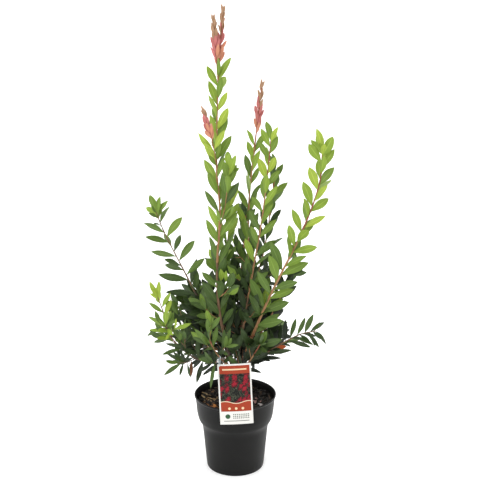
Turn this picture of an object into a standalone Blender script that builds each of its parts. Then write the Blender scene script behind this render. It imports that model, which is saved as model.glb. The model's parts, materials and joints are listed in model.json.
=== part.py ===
"""A young bottlebrush plant in a black nursery pot, with a picture card hung on a low stem.

Lengths are in metres, +Z is up, and the origin is the centre of the pot's flat underside.
The plant is a short trunk, fifteen boughs that leave it one after another, and a leafy
mass that carries each bough on to its tip. Every mass grows by one seeded rule: leaves and
side twigs stand round the stem in golden-angle steps, and one that would touch a limb, the
pot, the card or another mass is skipped.
"""

import math
from dataclasses import dataclass

import bmesh
import bpy
import numpy as np
from mathutils import Matrix, Vector
from mathutils.bvhtree import BVHTree

MM = 0.001
GAP = 0.3 * MM

# Pot: a tapering bucket under a deeper collar with a rolled lip
POT_SEGMENTS = 36
POT_WALL = 2.0 * MM
POT_FLOOR = 2.5 * MM
POT_OUTSIDE = (
    # radius and height of the outer wall, from the underside to the lip, in mm
    (66.0, 0.0), (69.2, 1.2), (70.6, 5.0), (79.4, 100.0), (81.0, 109.0), (84.5, 117.0),
    (89.5, 124.5), (91.8, 134.0), (93.8, 143.0), (97.0, 181.0), (99.2, 182.6), (100.0, 185.0),
)
LIP_TOP = 186.4 * MM
LIP_TOP_RADII = (99.2 * MM, 97.0 * MM)
LIP_SOLID_DEPTH = 4.0 * MM
POT_INNER_CORNER = 0.6 * MM

# Soil: a filled plug up to a little under the lip, level round the trunk's foot
SOIL_TOP = 170.0 * MM
SOIL_EDGE_DEPTH = 4.0 * MM
SOIL_CORNER = 1.6 * MM
SOIL_RINGS = (91.0, 72.0, 50.0, 24.0)
SOIL_BLEND = 30.0 * MM
SOIL_RIPPLE = 1.6 * MM
SOIL_LEVEL_RADIUS = 24.0 * MM
SOIL_WAVES = (90.0, 110.0, -60.0)

# Trunk: a short stock with a flared foot on the soil, leaning a little to the right
TRUNK_SIDES = 12
TRUNK_FOOT = Vector((1.0, 0.0, 170.3)) * MM
TRUNK_HEAD = Vector((4.0, 0.0, 262.0)) * MM
TRUNK_FLARE = 5.0 * MM
TRUNK_FLARE_HEIGHT = 9.0 * MM
TRUNK_RADIUS_FOOT = 8.6 * MM
TRUNK_RADIUS_HEAD = 6.4 * MM
TRUNK_LEVELS = (0.0, 0.05, 0.11, 0.2, 0.45, 0.75, 1.0)

# Boughs and leafy stems
BOUGH_SIDES = 6
STEM_SIDES = 4
TWIG_SIDES = 3
ROUTE_STEP = 24.0 * MM
ROUTE_SAMPLES = 24
ROUTE_CUT_MARGIN = 2.0 * MM
STEM_TIP_RADIUS = 0.7 * MM
STEM_TAPER = 0.85
STEM_FIRST_LEAF = 9.0 * MM
SIDE_SHOOT_RADIUS = 1.5 * MM
SIDE_SHOOT_LEAF = 0.92
TWIG_RADIUS = 0.9 * MM
TWIG_TIP_RADIUS = 0.55 * MM
TWIG_FIRST_LEAF = 14.0 * MM
TWIG_LEAF = 0.84
TWIG_FIRST_PLACE = 0.35
TWIG_FIRST_TURN = 1.1
TWIG_OPENING = (42.0, 62.0)
TWIG_SHORTER = 0.45
TWIG_LENGTH_SPREAD = (0.85, 1.15)
TWIG_RISE = 0.16

# Leaves: flat pointed blades, widest just before the middle
GOLDEN_ANGLE = math.pi * (3.0 - math.sqrt(5.0))
LEAF_THICKNESS = 1.2 * MM
LEAF_WIDEST = 0.52
LEAF_WIDTHS = (0.25, 0.31)
LEAF_LENGTH_SPREAD = 0.12
LEAF_SHORTER = 0.3
LEAF_SHORTER_FROM = 0.4
LEAF_ROLL = 66.0
LEAF_ROLL_SPREAD = 22.0
LEAF_OPENING_SPREAD = 6.0
LEAF_TURN_SPREAD = 0.3
END_LEAF_OPENING = 6.0
LEAF_RIDGE = 0.5
LEAF_SINK = 0.5 * MM
LEAF_DROOP = 0.07
LEAF_FOOT = 0.2
BLADE_MARGIN = 0.1 * MM
LEAF_NUDGES = (0.0, 40.0, -40.0, 80.0, -80.0)
YOUNG_LEAF = 0.62
YOUNG_OPENING = 0.6
YOUNG_SPACING = 0.75
LEAF_CLEARANCE = 0.45 * MM
POT_CLEAR_HEIGHT = 190.0 * MM

# Card: a stiff picture card that leans back on the lip and hangs by a strap
CARD_WIDTH = 77.3 * MM
CARD_HEIGHT = 144.6 * MM
CARD_THICKNESS = 0.7 * MM
CARD_CENTRE_X = 1.2 * MM
CARD_CENTRE_Z = 224.9 * MM
CARD_TURN = math.radians(2.7)
CARD_LEAN = math.radians(3.5)
CARD_BOW = 2.2 * MM
CARD_COLUMNS = 10
STRAP_WIDTH = 4.0 * MM
STRAP_THICKNESS = 0.8 * MM
STRAP_SEGMENTS = 14
STRAP_BOUGH = "low_front"
STRAP_REACH = 0.9
STRAP_TIE = (0.05, 0.975)
STRAP_SLACK = 0.25 * MM

COLOURS = {
    "pot_plastic": ((0.030, 0.031, 0.034), 0.45),
    "soil": ((0.045, 0.030, 0.022), 0.95),
    "card": ((0.86, 0.85, 0.82), 0.35),
    "bark": ((0.190, 0.110, 0.065), 0.80),
    "leaf_low": ((0.030, 0.080, 0.020), 0.45),
    "leaf_middle": ((0.090, 0.230, 0.030), 0.45),
    "leaf_top": ((0.240, 0.420, 0.050), 0.45),
}


@dataclass
class Shoot:
    """One limb: the bough that leaves the trunk, and the leafy mass at its end."""

    name: str
    through: tuple
    girth: float
    bare: float
    colour: str
    seed: int
    spacing: float = 18.5
    leaf: float = 57.0
    open_low: float = 52.0
    open_top: float = 30.0
    lift: float = 0.10
    twigs: int = 4
    twig_length: float = 85.0
    twig_zone: float = 0.5
    young: float = 0.0
    side_young: float = 0.0
    side_shoots: tuple = ()


# Points in mm that each limb passes through, from the trunk's axis to the stem's tip
SHOOTS = (
    Shoot("tall", ((2, -1, 234), (-17, -21, 308), (-36, -35, 400), (-41, -45, 507), (-34, -42, 640),
                   (-41, -33, 745), (-37, -16, 930), (-26, -10, 1068)),
          girth=3.8, bare=95, colour="leaf_top", seed=11, spacing=17, open_low=42, open_top=24, twigs=4,
          twig_zone=0.28, young=160, side_young=45, side_shoots=(
              ((-37, -16, 930), (-42, -24, 1000), (-45, -30, 1045)),
              ((-40, -34, 735), (-48, -54, 796), (-64, -69, 858)),
              ((-34, -42, 600), (-21, -58, 665), (-13, -72, 730)),
              ((-37, -41, 480), (-20, -12, 550), (-10, 6, 655)))),
    Shoot("centre", ((4, 1, 256), (14, 12, 331), (29, 32, 490), (33, 31, 656), (47, 25, 797),
                     (60, 15, 902)),
          girth=3.6, bare=85, colour="leaf_top", seed=12, open_low=44, open_top=24, twigs=4,
          twig_zone=0.3, young=105),
    Shoot("front", ((4, -1, 244), (13, -18, 318), (38, -24, 480), (57, -30, 591), (71, -35, 700),
                    (80.5, -35, 803)),
          girth=3.0, bare=90, colour="leaf_middle", seed=13, open_low=46, open_top=26, twigs=4,
          twig_zone=0.3),
    Shoot("right", ((3, 0, 226), (20, -9, 282), (47, -40, 362), (86, -64, 463), (148, -76, 598),
                    (186, -70, 705), (193, -65, 786)),
          girth=4.0, bare=95, colour="leaf_top", seed=14, open_low=48, open_top=30, twigs=5,
          twig_zone=0.35),
    Shoot("left", ((2, 1, 246), (-24, 14, 296), (-68, 40, 369), (-124, 45, 482), (-168, 41, 575),
                   (-188, 40, 628)),
          girth=3.0, bare=100, colour="leaf_middle", seed=15, open_low=60, open_top=45, twigs=4,
          twig_zone=0.45, twig_length=75),
    Shoot("back", ((3, 1, 228), (20, 17, 290), (45, 68, 430), (74, 85, 540), (97.5, 85, 722)),
          girth=3.0, bare=95, colour="leaf_middle", seed=16, open_low=48, open_top=28, twigs=5,
          twig_zone=0.4),
    Shoot("back_mid", ((3, 2, 230), (-1, 27, 296), (8, 78, 420), (22, 106, 540), (26, 110, 610)),
          girth=2.8, bare=85, colour="leaf_middle", seed=37, open_low=50, open_top=32, twigs=5,
          twig_zone=0.5),
    Shoot("low_left", ((1, 0, 224), (-40, -26, 270), (-96, -50, 296), (-146, -60, 343),
                       (-164, -60, 400), (-178, -60, 442)),
          girth=3.0, bare=75, colour="leaf_low", seed=18, open_low=66, open_top=45, twigs=6,
          twig_zone=0.75, twig_length=70),
    Shoot("low_right", ((1, 0, 204), (24, -10, 256), (90, -20, 307), (150, -30, 348), (188, -36, 366)),
          girth=2.8, bare=60, colour="leaf_low", seed=19, open_low=68, open_top=45, lift=0.7,
          twigs=5, twig_zone=0.8, twig_length=60),
    Shoot("right_back", ((3, 1, 210), (31, 14, 276), (97, 50, 385), (128, 58, 450), (144, 60, 482)),
          girth=3.0, bare=80, colour="leaf_low", seed=41, leaf=50, open_low=54, open_top=36, twigs=3,
          twig_zone=0.5, twig_length=55),
    Shoot("low_front", ((1, 0, 210), (-8, -26, 256), (-38, -80, 311), (-56, -110, 360),
                        (-54, -116, 398)),
          girth=2.6, bare=146, colour="leaf_middle", seed=21, spacing=12, leaf=46, open_low=62,
          open_top=38, twigs=3, twig_zone=0.5, twig_length=50),
    Shoot("back_left", ((1, 0, 220), (-16, 24, 268), (-44, 70, 340), (-62, 92, 420), (-66, 98, 462)),
          girth=3.0, bare=70, colour="leaf_low", seed=22, open_low=56, open_top=38, twigs=5,
          twig_zone=0.75),
    Shoot("low_back", ((1, 0, 202), (8, 28, 252), (46, 92, 310), (70, 136, 362), (74, 146, 400)),
          girth=2.8, bare=75, colour="leaf_low", seed=23, open_low=62, open_top=42, twigs=6,
          twig_zone=0.75, twig_length=75),
    Shoot("low_front_right", ((1, 0, 202), (12, -24, 252), (36, -62, 292), (58, -84, 330)),
          girth=2.4, bare=70, colour="leaf_low", seed=24, spacing=13, leaf=46, open_low=60,
          open_top=40, twigs=4, twig_zone=0.8, twig_length=55),
    Shoot("low_back_left", ((1, 0, 200), (-18, 26, 250), (-70, 78, 300), (-114, 100, 348),
                            (-124, 104, 382)),
          girth=2.8, bare=75, colour="leaf_low", seed=25, open_low=64, open_top=42, twigs=5,
          twig_zone=0.8, twig_length=75),
)


def clear_scene():
    """Start from an empty file."""
    for thing in list(bpy.data.objects):
        bpy.data.objects.remove(thing, do_unlink=True)


def material(name):
    """A Principled material with one of the named colours and its roughness."""
    found = bpy.data.materials.get(name)
    if found:
        return found
    colour, roughness = COLOURS[name]
    made = bpy.data.materials.new(name)
    made.use_nodes = True
    shader = made.node_tree.nodes["Principled BSDF"]
    shader.inputs["Base Color"].default_value = (*colour, 1.0)
    shader.inputs["Roughness"].default_value = roughness
    shader.inputs["Metallic"].default_value = 0.0
    return made


def mesh_object(name, shape, material_name=None):
    """A scene object from points and faces."""
    points, faces = shape
    mesh = bpy.data.meshes.new(name)
    mesh.from_pydata([tuple(p) for p in points], [], [tuple(f) for f in faces])
    mesh.validate()
    made = bpy.data.objects.new(name, mesh)
    bpy.context.scene.collection.objects.link(made)
    if material_name:
        mesh.materials.append(material(material_name))
    return made


def smooth_sides(thing, sharp_from=math.radians(35.0)):
    """Round pieces shade smooth, with their real edges kept sharp."""
    thing.data.shade_smooth()
    thing.data.set_sharp_from_angle(angle=sharp_from)


def lathe(profile, segments, height=None):
    """Turn (radius, height) points, bottom axis first, round Z. A zero radius is a pole."""
    points, rings = [], []
    angles = 2.0 * math.pi * np.arange(segments) / segments
    for radius, level in profile:
        if radius == 0.0:
            rings.append([len(points)])
            points.append((0.0, 0.0, level))
            continue
        rings.append(list(range(len(points), len(points) + segments)))
        for angle in angles:
            x, y = radius * math.cos(angle), radius * math.sin(angle)
            points.append((x, y, level + (height(x, y, level) if height else 0.0)))
    faces = []
    for low, high in zip(rings, rings[1:]):
        for i in range(segments):
            j = (i + 1) % segments
            if len(low) == 1:
                faces.append((low[0], high[j], high[i]))
            elif len(high) == 1:
                faces.append((low[i], low[j], high[0]))
            else:
                faces.append((low[i], low[j], high[j], high[i]))
    return points, faces


def smooth_route(through, step=ROUTE_STEP):
    """Points a step apart along a Catmull-Rom curve through the given points."""
    knots = np.array(through, float)
    padded = np.vstack([2.0 * knots[0] - knots[1], knots, 2.0 * knots[-1] - knots[-2]])
    t = np.linspace(0.0, 1.0, ROUTE_SAMPLES, endpoint=False)[:, None]
    spans = []
    for a, b, c, d in zip(padded, padded[1:], padded[2:], padded[3:]):
        spans.append(0.5 * (2.0 * b + (c - a) * t + (2.0 * a - 5.0 * b + 4.0 * c - d) * t**2
                            + (3.0 * b - a - 3.0 * c + d) * t**3))
    fine = np.vstack([*spans, knots[-1:]])
    along = np.concatenate([[0.0], np.cumsum(np.linalg.norm(np.diff(fine, axis=0), axis=1))])
    count = max(3, round(along[-1] / step) + 1)
    places = np.linspace(0.0, along[-1], count)
    return np.stack([np.interp(places, along, fine[:, k]) for k in range(3)], axis=1)


def part_of(route, start, stop):
    """The stretch of a route between two distances along it, its own points kept."""
    along = distances(route)
    stop = min(stop, along[-1])
    inner = along[(along > start + ROUTE_CUT_MARGIN) & (along < stop - ROUTE_CUT_MARGIN)]
    places = np.concatenate([[start], inner, [stop]])
    return np.stack([np.interp(places, along, route[:, k]) for k in range(3)], axis=1)


def distances(route):
    """How far along the route each of its points lies."""
    return np.concatenate([[0.0], np.cumsum(np.linalg.norm(np.diff(route, axis=0), axis=1))])


def directions(route):
    """The unit direction of the route at each point."""
    tangents = np.gradient(route, axis=0)
    return tangents / np.linalg.norm(tangents, axis=1)[:, None]


def cross_frames(route):
    """Two unit vectors square to the route at each point, carried along without twist."""
    tangents = directions(route)
    helper = np.array((0.0, 1.0, 0.0)) if abs(tangents[0, 1]) < 0.9 else np.array((1.0, 0.0, 0.0))
    side = np.cross(tangents[0], helper)
    sides = []
    for tangent in tangents:
        side = side - tangent * side.dot(tangent)
        side = side / np.linalg.norm(side)
        sides.append(side)
    sides = np.array(sides)
    return tangents, sides, np.cross(tangents, sides)


def tube(route, radii, sides):
    """A closed tube round the route with flat ends."""
    _, across, up = cross_frames(route)
    angles = 2.0 * math.pi * np.arange(sides) / sides
    ring = (across[:, None, :] * np.cos(angles)[None, :, None]
            + up[:, None, :] * np.sin(angles)[None, :, None])
    points = (route[:, None, :] + ring * np.asarray(radii)[:, None, None]).reshape(-1, 3)
    faces = []
    for row in range(len(route) - 1):
        for i in range(sides):
            j = (i + 1) % sides
            a, b = row * sides, (row + 1) * sides
            faces.append((a + i, a + j, b + j, b + i))
    faces.append(tuple(reversed(range(sides))))
    faces.append(tuple(range(len(points) - sides, len(points))))
    return points, faces


def leaf_solid(root, direction, normal, length, width, grow=0.0):
    """A leaf of six faces: a root point, two sides, a ridge at the middle and a tip."""
    across = np.cross(direction, normal)
    middle = root + direction * length * LEAF_WIDEST
    half = 0.5 * width + grow
    points = (
        root - direction * (LEAF_SINK + grow),
        middle + across * half - normal * grow,
        middle - across * half - normal * grow,
        root + direction * length * LEAF_RIDGE + normal * (LEAF_THICKNESS + grow),
        root + direction * (length + grow) - normal * length * LEAF_DROOP,
    )
    return points, ((0, 2, 1), (2, 4, 1), (0, 3, 2), (0, 1, 3), (3, 4, 2), (3, 1, 4))


def outer_blade(root, direction, normal, length, width):
    """The part of a leaf beyond its foot, which keeps off its own mass's stems and leaves."""
    foot = LEAF_FOOT * length
    start = root + direction * foot
    return leaf_solid(start, direction, normal, length - foot, width, BLADE_MARGIN)


def tree_of(shape):
    """A search tree of a shape's surface."""
    points, faces = shape
    return BVHTree.FromPolygons([tuple(p) for p in points], [tuple(f) for f in faces])


def is_clear(shape, obstacles):
    """Whether a shape keeps above the pot and touches none of the obstacles."""
    if min(p[2] for p in shape[0]) < POT_CLEAR_HEIGHT:
        return False
    tree = tree_of(shape)
    return not any(tree.overlap(other) for other in obstacles)


def unit(vector):
    """The same direction with length one."""
    return vector / np.linalg.norm(vector)


def sample(route, place):
    """Point, tangent and cross frame of a route at a distance along it."""
    along = distances(route)
    tangents, across, up = cross_frames(route)
    pick = [np.array([np.interp(place, along, rows[:, k]) for k in range(3)])
            for rows in (route, tangents, across, up)]
    return pick[0], unit(pick[1]), unit(pick[2]), unit(pick[3])


def leaf_places(route, shoot, rng, first, size, young):
    """Where a stem's leaves stand: golden-angle steps round it, closer and shorter on new growth."""
    length = distances(route)[-1]
    places, place = [], first
    while place < length:
        places.append(place)
        place += shoot.spacing * MM * (YOUNG_SPACING if place > length - young else 1.0)
    places.append(length)
    leaves = []
    for i, place in enumerate(places):
        share = place / length
        opening = shoot.open_low + (shoot.open_top - shoot.open_low) * share
        opening += rng.normal(0.0, LEAF_OPENING_SPREAD)
        shorter = LEAF_SHORTER * max(0.0, share - LEAF_SHORTER_FROM) / (1.0 - LEAF_SHORTER_FROM)
        blade = size * (1.0 - shorter) * (1.0 + rng.uniform(-LEAF_LENGTH_SPREAD, LEAF_LENGTH_SPREAD))
        ratio = rng.uniform(*LEAF_WIDTHS)
        if place > length - young:
            opening *= YOUNG_OPENING
            blade *= YOUNG_LEAF
        if i == len(places) - 1:
            opening = END_LEAF_OPENING
        turn = i * GOLDEN_ANGLE + rng.normal(0.0, LEAF_TURN_SPREAD)
        roll = rng.choice((-1.0, 1.0)) * math.radians(rng.normal(LEAF_ROLL, LEAF_ROLL_SPREAD))
        leaves.append((place, turn, math.radians(opening), roll, blade, blade * ratio))
    return leaves


def leaf_on(route, shoot, place, turn, opening, roll, blade, width):
    """The root, direction and facing of one leaf on its stem."""
    point, tangent, across, up = sample(route, place)
    radial = across * math.cos(turn) + up * math.sin(turn)
    direction = unit(tangent * math.cos(opening) + radial * math.sin(opening)
                     + np.array((0.0, 0.0, shoot.lift)))
    side = unit(np.cross(tangent, direction) + 1e-6)
    facing = np.cross(direction, side)
    normal = unit(facing * math.cos(roll) + side * math.sin(roll))
    return point, direction, normal, blade, width


def side_twigs(route, shoot, rng):
    """Side twigs in the lower part of a leafy stem, shorter the higher they stand."""
    length = distances(route)[-1]
    twigs = []
    for i in range(shoot.twigs):
        share = (i + TWIG_FIRST_PLACE) / shoot.twigs
        point, tangent, across, up = sample(route, length * shoot.twig_zone * share)
        turn = i * GOLDEN_ANGLE + TWIG_FIRST_TURN + rng.normal(0.0, LEAF_TURN_SPREAD)
        opening = math.radians(rng.uniform(*TWIG_OPENING))
        radial = across * math.cos(turn) + up * math.sin(turn)
        heading = unit(tangent * math.cos(opening) + radial * math.sin(opening))
        reach = shoot.twig_length * MM * (1.0 - TWIG_SHORTER * share) * rng.uniform(*TWIG_LENGTH_SPREAD)
        tip = point + heading * reach + np.array((0.0, 0.0, TWIG_RISE * reach))
        twigs.append(smooth_route((point, point + heading * reach * 0.5, tip), step=reach / 3.0))
    return twigs


def bough_radius(shoot, along, whole):
    """A limb's radius, tapering evenly from the trunk to its tip."""
    return shoot.girth * MM + (STEM_TIP_RADIUS - shoot.girth * MM) * (along / whole) ** STEM_TAPER


def stem_pieces(shoot):
    """The route of a shoot cut into its bare bough and its leafy stem."""
    route = smooth_route(np.array(shoot.through) * MM)
    whole = distances(route)[-1]
    cut = shoot.bare * MM
    bough = part_of(route, 0.0, cut)
    stem = part_of(route, cut + GAP, whole)
    return bough, stem, whole


def tapered(route, thick, thin):
    """Radii along a route that fall evenly from thick to thin."""
    along = distances(route)
    return thick + (thin - thick) * along / along[-1]


def grow_mass(shoot, stem, whole, obstacles):
    """The shapes of a leafy mass, its stem first, and how many leaves it kept."""
    rng = np.random.default_rng(shoot.seed)
    start = whole - distances(stem)[-1]
    shapes = [tube(stem, bough_radius(shoot, start + distances(stem), whole), STEM_SIDES)]
    size = shoot.leaf * MM
    runs = [(stem, STEM_FIRST_LEAF, size, shoot.young * MM)]
    for through in shoot.side_shoots:
        side = smooth_route(np.array(through) * MM)
        shapes.append(tube(side, tapered(side, SIDE_SHOOT_RADIUS, STEM_TIP_RADIUS), TWIG_SIDES))
        runs.append((side, TWIG_FIRST_LEAF, size * SIDE_SHOOT_LEAF, shoot.side_young * MM))
    for twig in side_twigs(stem, shoot, rng):
        radii = tapered(twig, TWIG_RADIUS, TWIG_TIP_RADIUS)
        if is_clear(tube(twig, radii + LEAF_CLEARANCE, TWIG_SIDES), obstacles):
            shapes.append(tube(twig, radii, TWIG_SIDES))
            runs.append((twig, TWIG_FIRST_LEAF, size * TWIG_LEAF, 0.0))
    stems = len(shapes)
    own = [tree_of(shape) for shape in shapes]
    for route, first, longest, young in runs:
        for place, turn, *rest in leaf_places(route, shoot, rng, first, longest, young):
            for nudge in LEAF_NUDGES:
                leaf = leaf_on(route, shoot, place, turn + math.radians(nudge), *rest)
                solid = leaf_solid(*leaf, grow=LEAF_CLEARANCE)
                if is_clear(solid, obstacles) and is_clear(outer_blade(*leaf), own):
                    shapes.append(leaf_solid(*leaf))
                    own.append(tree_of(shapes[-1]))
                    break
    return shapes, len(shapes) - stems


def keep_outer_shell(mesh):
    """Drop every shell but the largest: scraps go, and hollows that joining sealed are filled."""
    work = bmesh.new()
    work.from_mesh(mesh)
    unseen = set(work.verts)
    shells = []
    while unseen:
        shell, edge = set(), [unseen.pop()]
        while edge:
            vert = edge.pop()
            shell.add(vert)
            near = {link.other_vert(vert) for link in vert.link_edges} & unseen
            unseen -= near
            edge.extend(near)
        shells.append(shell)
    largest = max(shells, key=len)
    spare = [vert for shell in shells if shell is not largest for vert in shell]
    bmesh.ops.delete(work, geom=spare, context="VERTS")
    work.to_mesh(mesh)
    work.free()


def united(name, shapes, material_name):
    """One body from many overlapping shapes, by a single union on a collection."""
    body = mesh_object(name, shapes[0], material_name)
    others = bpy.data.collections.new(name + "_pieces")
    bpy.context.scene.collection.children.link(others)
    for i, shape in enumerate(shapes[1:]):
        piece = mesh_object(f"{name}_piece_{i}", shape)
        bpy.context.scene.collection.objects.unlink(piece)
        others.objects.link(piece)
    union = body.modifiers.new("union", "BOOLEAN")
    union.operation = "UNION"
    union.solver = "MANIFOLD"
    union.operand_type = "COLLECTION"
    union.collection = others
    graph = bpy.context.evaluated_depsgraph_get()
    joined = bpy.data.meshes.new_from_object(body.evaluated_get(graph))
    keep_outer_shell(joined)
    body.modifiers.remove(union)
    body.data = joined
    for piece in list(others.objects):
        bpy.data.objects.remove(piece, do_unlink=True)
    bpy.data.collections.remove(others)
    return body


def make_pot():
    """The bucket with its collar and rolled lip, open at the top."""
    outside = [(r * MM, z * MM) for r, z in POT_OUTSIDE]
    top = LIP_TOP - LIP_SOLID_DEPTH
    inside = [(r - POT_WALL, z) for r, z in outside if POT_FLOOR + POT_WALL < z < top]
    profile = [(0.0, 0.0), *outside, (LIP_TOP_RADII[0], LIP_TOP), (LIP_TOP_RADII[1], LIP_TOP)]
    profile += list(reversed(inside))
    profile += [(inside[0][0] - POT_INNER_CORNER, POT_FLOOR), (0.0, POT_FLOOR)]
    pot = mesh_object("pot", lathe(profile, POT_SEGMENTS), "pot_plastic")
    smooth_sides(pot)
    return pot, inside


def soil_height(x, y, level):
    """Gentle unevenness on the soil's top, none near the trunk's foot."""
    if level < SOIL_TOP - 1.0 * MM:
        return 0.0
    outward = min(1.0, max(0.0, (math.hypot(x, y) - SOIL_LEVEL_RADIUS) / SOIL_BLEND))
    along, back, skew = SOIL_WAVES
    return SOIL_RIPPLE * outward * (math.sin(along * x + 1.0) + math.cos(back * y + skew * x))


def make_soil(inside):
    """The plug of potting soil, a gap clear of the pot all round."""
    wall = [(r - GAP, z) for r, z in inside if z < SOIL_TOP - 2.0 * SOIL_EDGE_DEPTH]
    top = np.interp(SOIL_TOP, [z for _, z in inside], [r for r, _ in inside]) - GAP
    profile = [(0.0, POT_FLOOR + GAP), (wall[0][0] - SOIL_CORNER, POT_FLOOR + GAP), *wall]
    profile += [(top - GAP, SOIL_TOP - SOIL_EDGE_DEPTH)]
    profile += [(r * MM, SOIL_TOP) for r in SOIL_RINGS]
    profile += [(0.0, SOIL_TOP)]
    return mesh_object("soil", lathe(profile, POT_SEGMENTS, soil_height), "soil")


def trunk_shape(extra=0.0):
    """The trunk's tube, flared at its foot, or a fatter copy of it."""
    share = np.array(TRUNK_LEVELS)
    foot, head = np.array(TRUNK_FOOT), np.array(TRUNK_HEAD)
    route = foot + (head - foot) * share[:, None]
    height = share * (head - foot)[2]
    radii = TRUNK_RADIUS_FOOT + (TRUNK_RADIUS_HEAD - TRUNK_RADIUS_FOOT) * share
    radii = radii + TRUNK_FLARE * np.exp(-height / TRUNK_FLARE_HEIGHT) + extra
    if extra:
        route = route.copy()
        route[-1] += unit(head - foot) * extra
    points, faces = tube(route, radii, TRUNK_SIDES)
    points[:TRUNK_SIDES, 2] = TRUNK_FOOT.z
    return points, faces


def make_bough(shoot, route, whole, cutter):
    """A bare tapering limb, cut to fit against the trunk with a small gap."""
    shape = tube(route, bough_radius(shoot, distances(route), whole), BOUGH_SIDES)
    bough = mesh_object("bough_" + shoot.name, shape, "bark")
    fit = bough.modifiers.new("fit_to_trunk", "BOOLEAN")
    fit.operation = "DIFFERENCE"
    fit.object = cutter
    smooth_sides(bough, math.radians(60.0))
    return shape


def card_point(u, v, back=0.0):
    """A point of the card: u across from the left, v up from the bottom, both 0 to 1."""
    across = (u - 0.5) * CARD_WIDTH
    rise = (v - 0.5) * CARD_HEIGHT
    x = CARD_CENTRE_X + across * math.cos(CARD_TURN) - rise * math.sin(CARD_TURN)
    z = CARD_CENTRE_Z + across * math.sin(CARD_TURN) + rise * math.cos(CARD_TURN)
    lip_y = -POT_OUTSIDE[-1][0] * MM - GAP - CARD_THICKNESS
    lean = (z - POT_OUTSIDE[-1][1] * MM) * math.tan(CARD_LEAN)
    bow = CARD_BOW * (2.0 * u - 1.0) ** 2
    return np.array((x, lip_y + lean + bow + back, z))


def card_shape():
    """The bowed card as a closed plate."""
    points = []
    for back in (0.0, CARD_THICKNESS):
        for v in (0.0, 1.0):
            points += [card_point(i / CARD_COLUMNS, v, back) for i in range(CARD_COLUMNS + 1)]
    row = CARD_COLUMNS + 1
    faces = []
    for i in range(CARD_COLUMNS):
        faces.append((i, i + 1, row + i + 1, row + i))
        faces.append((2 * row + i + 1, 2 * row + i, 3 * row + i, 3 * row + i + 1))
        faces.append((i + 1, i, 2 * row + i, 2 * row + i + 1))
        faces.append((row + i, row + i + 1, 3 * row + i + 1, 3 * row + i))
    faces.append((0, row, 3 * row, 2 * row))
    faces.append((row - 1, 3 * row - 1, 4 * row - 1, 2 * row - 1))
    return points, faces


def strap_shapes(shoot, route, whole):
    """The strap: a ring round a bough, a gap clear of it, and a tail down to the card."""
    place = shoot.bare * MM * STRAP_REACH
    centre, along, _, _ = sample(route, place)
    inner = bough_radius(shoot, place, whole) + GAP + STRAP_SLACK
    outer = inner + STRAP_THICKNESS
    half = 0.5 * STRAP_WIDTH
    tie = card_point(*STRAP_TIE, 0.5 * CARD_THICKNESS)
    down = unit(tie - centre)
    axis = unit(along - down * along.dot(down))
    frame = Matrix((down, np.cross(axis, down), axis)).transposed().to_4x4()
    frame.translation = Vector(centre)
    angles = 2.0 * math.pi * np.arange(STRAP_SEGMENTS) / STRAP_SEGMENTS
    points, faces = [], []
    for radius, level in ((inner, -half), (outer, -half), (outer, half), (inner, half)):
        points += [frame @ Vector((radius * math.cos(a), radius * math.sin(a), level)) for a in angles]
    for ring in range(4):
        for i in range(STRAP_SEGMENTS):
            j = (i + 1) % STRAP_SEGMENTS
            a, b = ring * STRAP_SEGMENTS, (ring + 1) % 4 * STRAP_SEGMENTS
            faces.append((a + i, a + j, b + j, b + i))
    tail = np.array((centre + down * (0.5 * (inner + outer)), tie))
    corners = []
    for end in tail:
        for side, level in ((-1, -1), (1, -1), (1, 1), (-1, 1)):
            corners.append(end + np.cross(axis, down) * side * 0.5 * STRAP_THICKNESS
                           + axis * level * (half - 0.1 * STRAP_THICKNESS))
    tail_faces = ((0, 3, 2, 1), (4, 5, 6, 7), (0, 1, 5, 4), (1, 2, 6, 5), (2, 3, 7, 6), (3, 0, 4, 7))
    return [(points, faces), (corners, tail_faces)]


def build():
    """Make every piece, the limbs before the leaves that grow round them."""
    clear_scene()
    pot, inside = make_pot()
    soil = make_soil(inside)
    trunk = mesh_object("trunk", trunk_shape(), "bark")
    smooth_sides(trunk)
    cutter = mesh_object("trunk_clearance", trunk_shape(GAP))
    cutter.hide_render = True
    cutter.display_type = "WIRE"

    obstacles = []
    for thing in (pot, soil, trunk):
        obstacles.append(tree_of(([v.co for v in thing.data.vertices],
                                  [p.vertices for p in thing.data.polygons])))
    pieces = {shoot.name: stem_pieces(shoot) for shoot in SHOOTS}
    for shoot in SHOOTS:
        bough, stem, whole = pieces[shoot.name]
        obstacles.append(tree_of(make_bough(shoot, bough, whole, cutter)))

    hung = next(shoot for shoot in SHOOTS if shoot.name == STRAP_BOUGH)
    card = [card_shape(), *strap_shapes(hung, pieces[hung.name][0], pieces[hung.name][2])]
    obstacles += [tree_of(shape) for shape in card]
    united("card", card, "card")

    stems = {}
    for shoot in SHOOTS:
        _, stem, whole = pieces[shoot.name]
        start = whole - distances(stem)[-1]
        stems[shoot.name] = tree_of(tube(stem, bough_radius(shoot, start + distances(stem), whole),
                                         STEM_SIDES))
    total = 0
    for shoot in SHOOTS:
        _, stem, whole = pieces[shoot.name]
        others = [tree for name, tree in stems.items() if name != shoot.name]
        shapes, leaves = grow_mass(shoot, stem, whole, obstacles + others)
        united("foliage_" + shoot.name, shapes, shoot.colour)
        for shape in shapes:
            obstacles.append(tree_of(shape))
        total += leaves
        print("foliage_" + shoot.name, leaves, "leaves")
    print(total, "leaves in all")


build()
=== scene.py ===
# %% [markdown]
# # A young bottlebrush in a nursery pot
# The model of the plant comes in as plain solids: a pot, soil, a picture card, a trunk,
# fifteen boughs and a leafy mass on each. This lesson puts the real surfaces in their place:
# ribbed bark, thin pointed leaves, crumbly soil and moulded plastic. Each piece is worked out
# with whole numpy arrays, because a shape that is a formula is easy to change and to read.

# %% Load the frame
import json
import math
from dataclasses import dataclass

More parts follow.
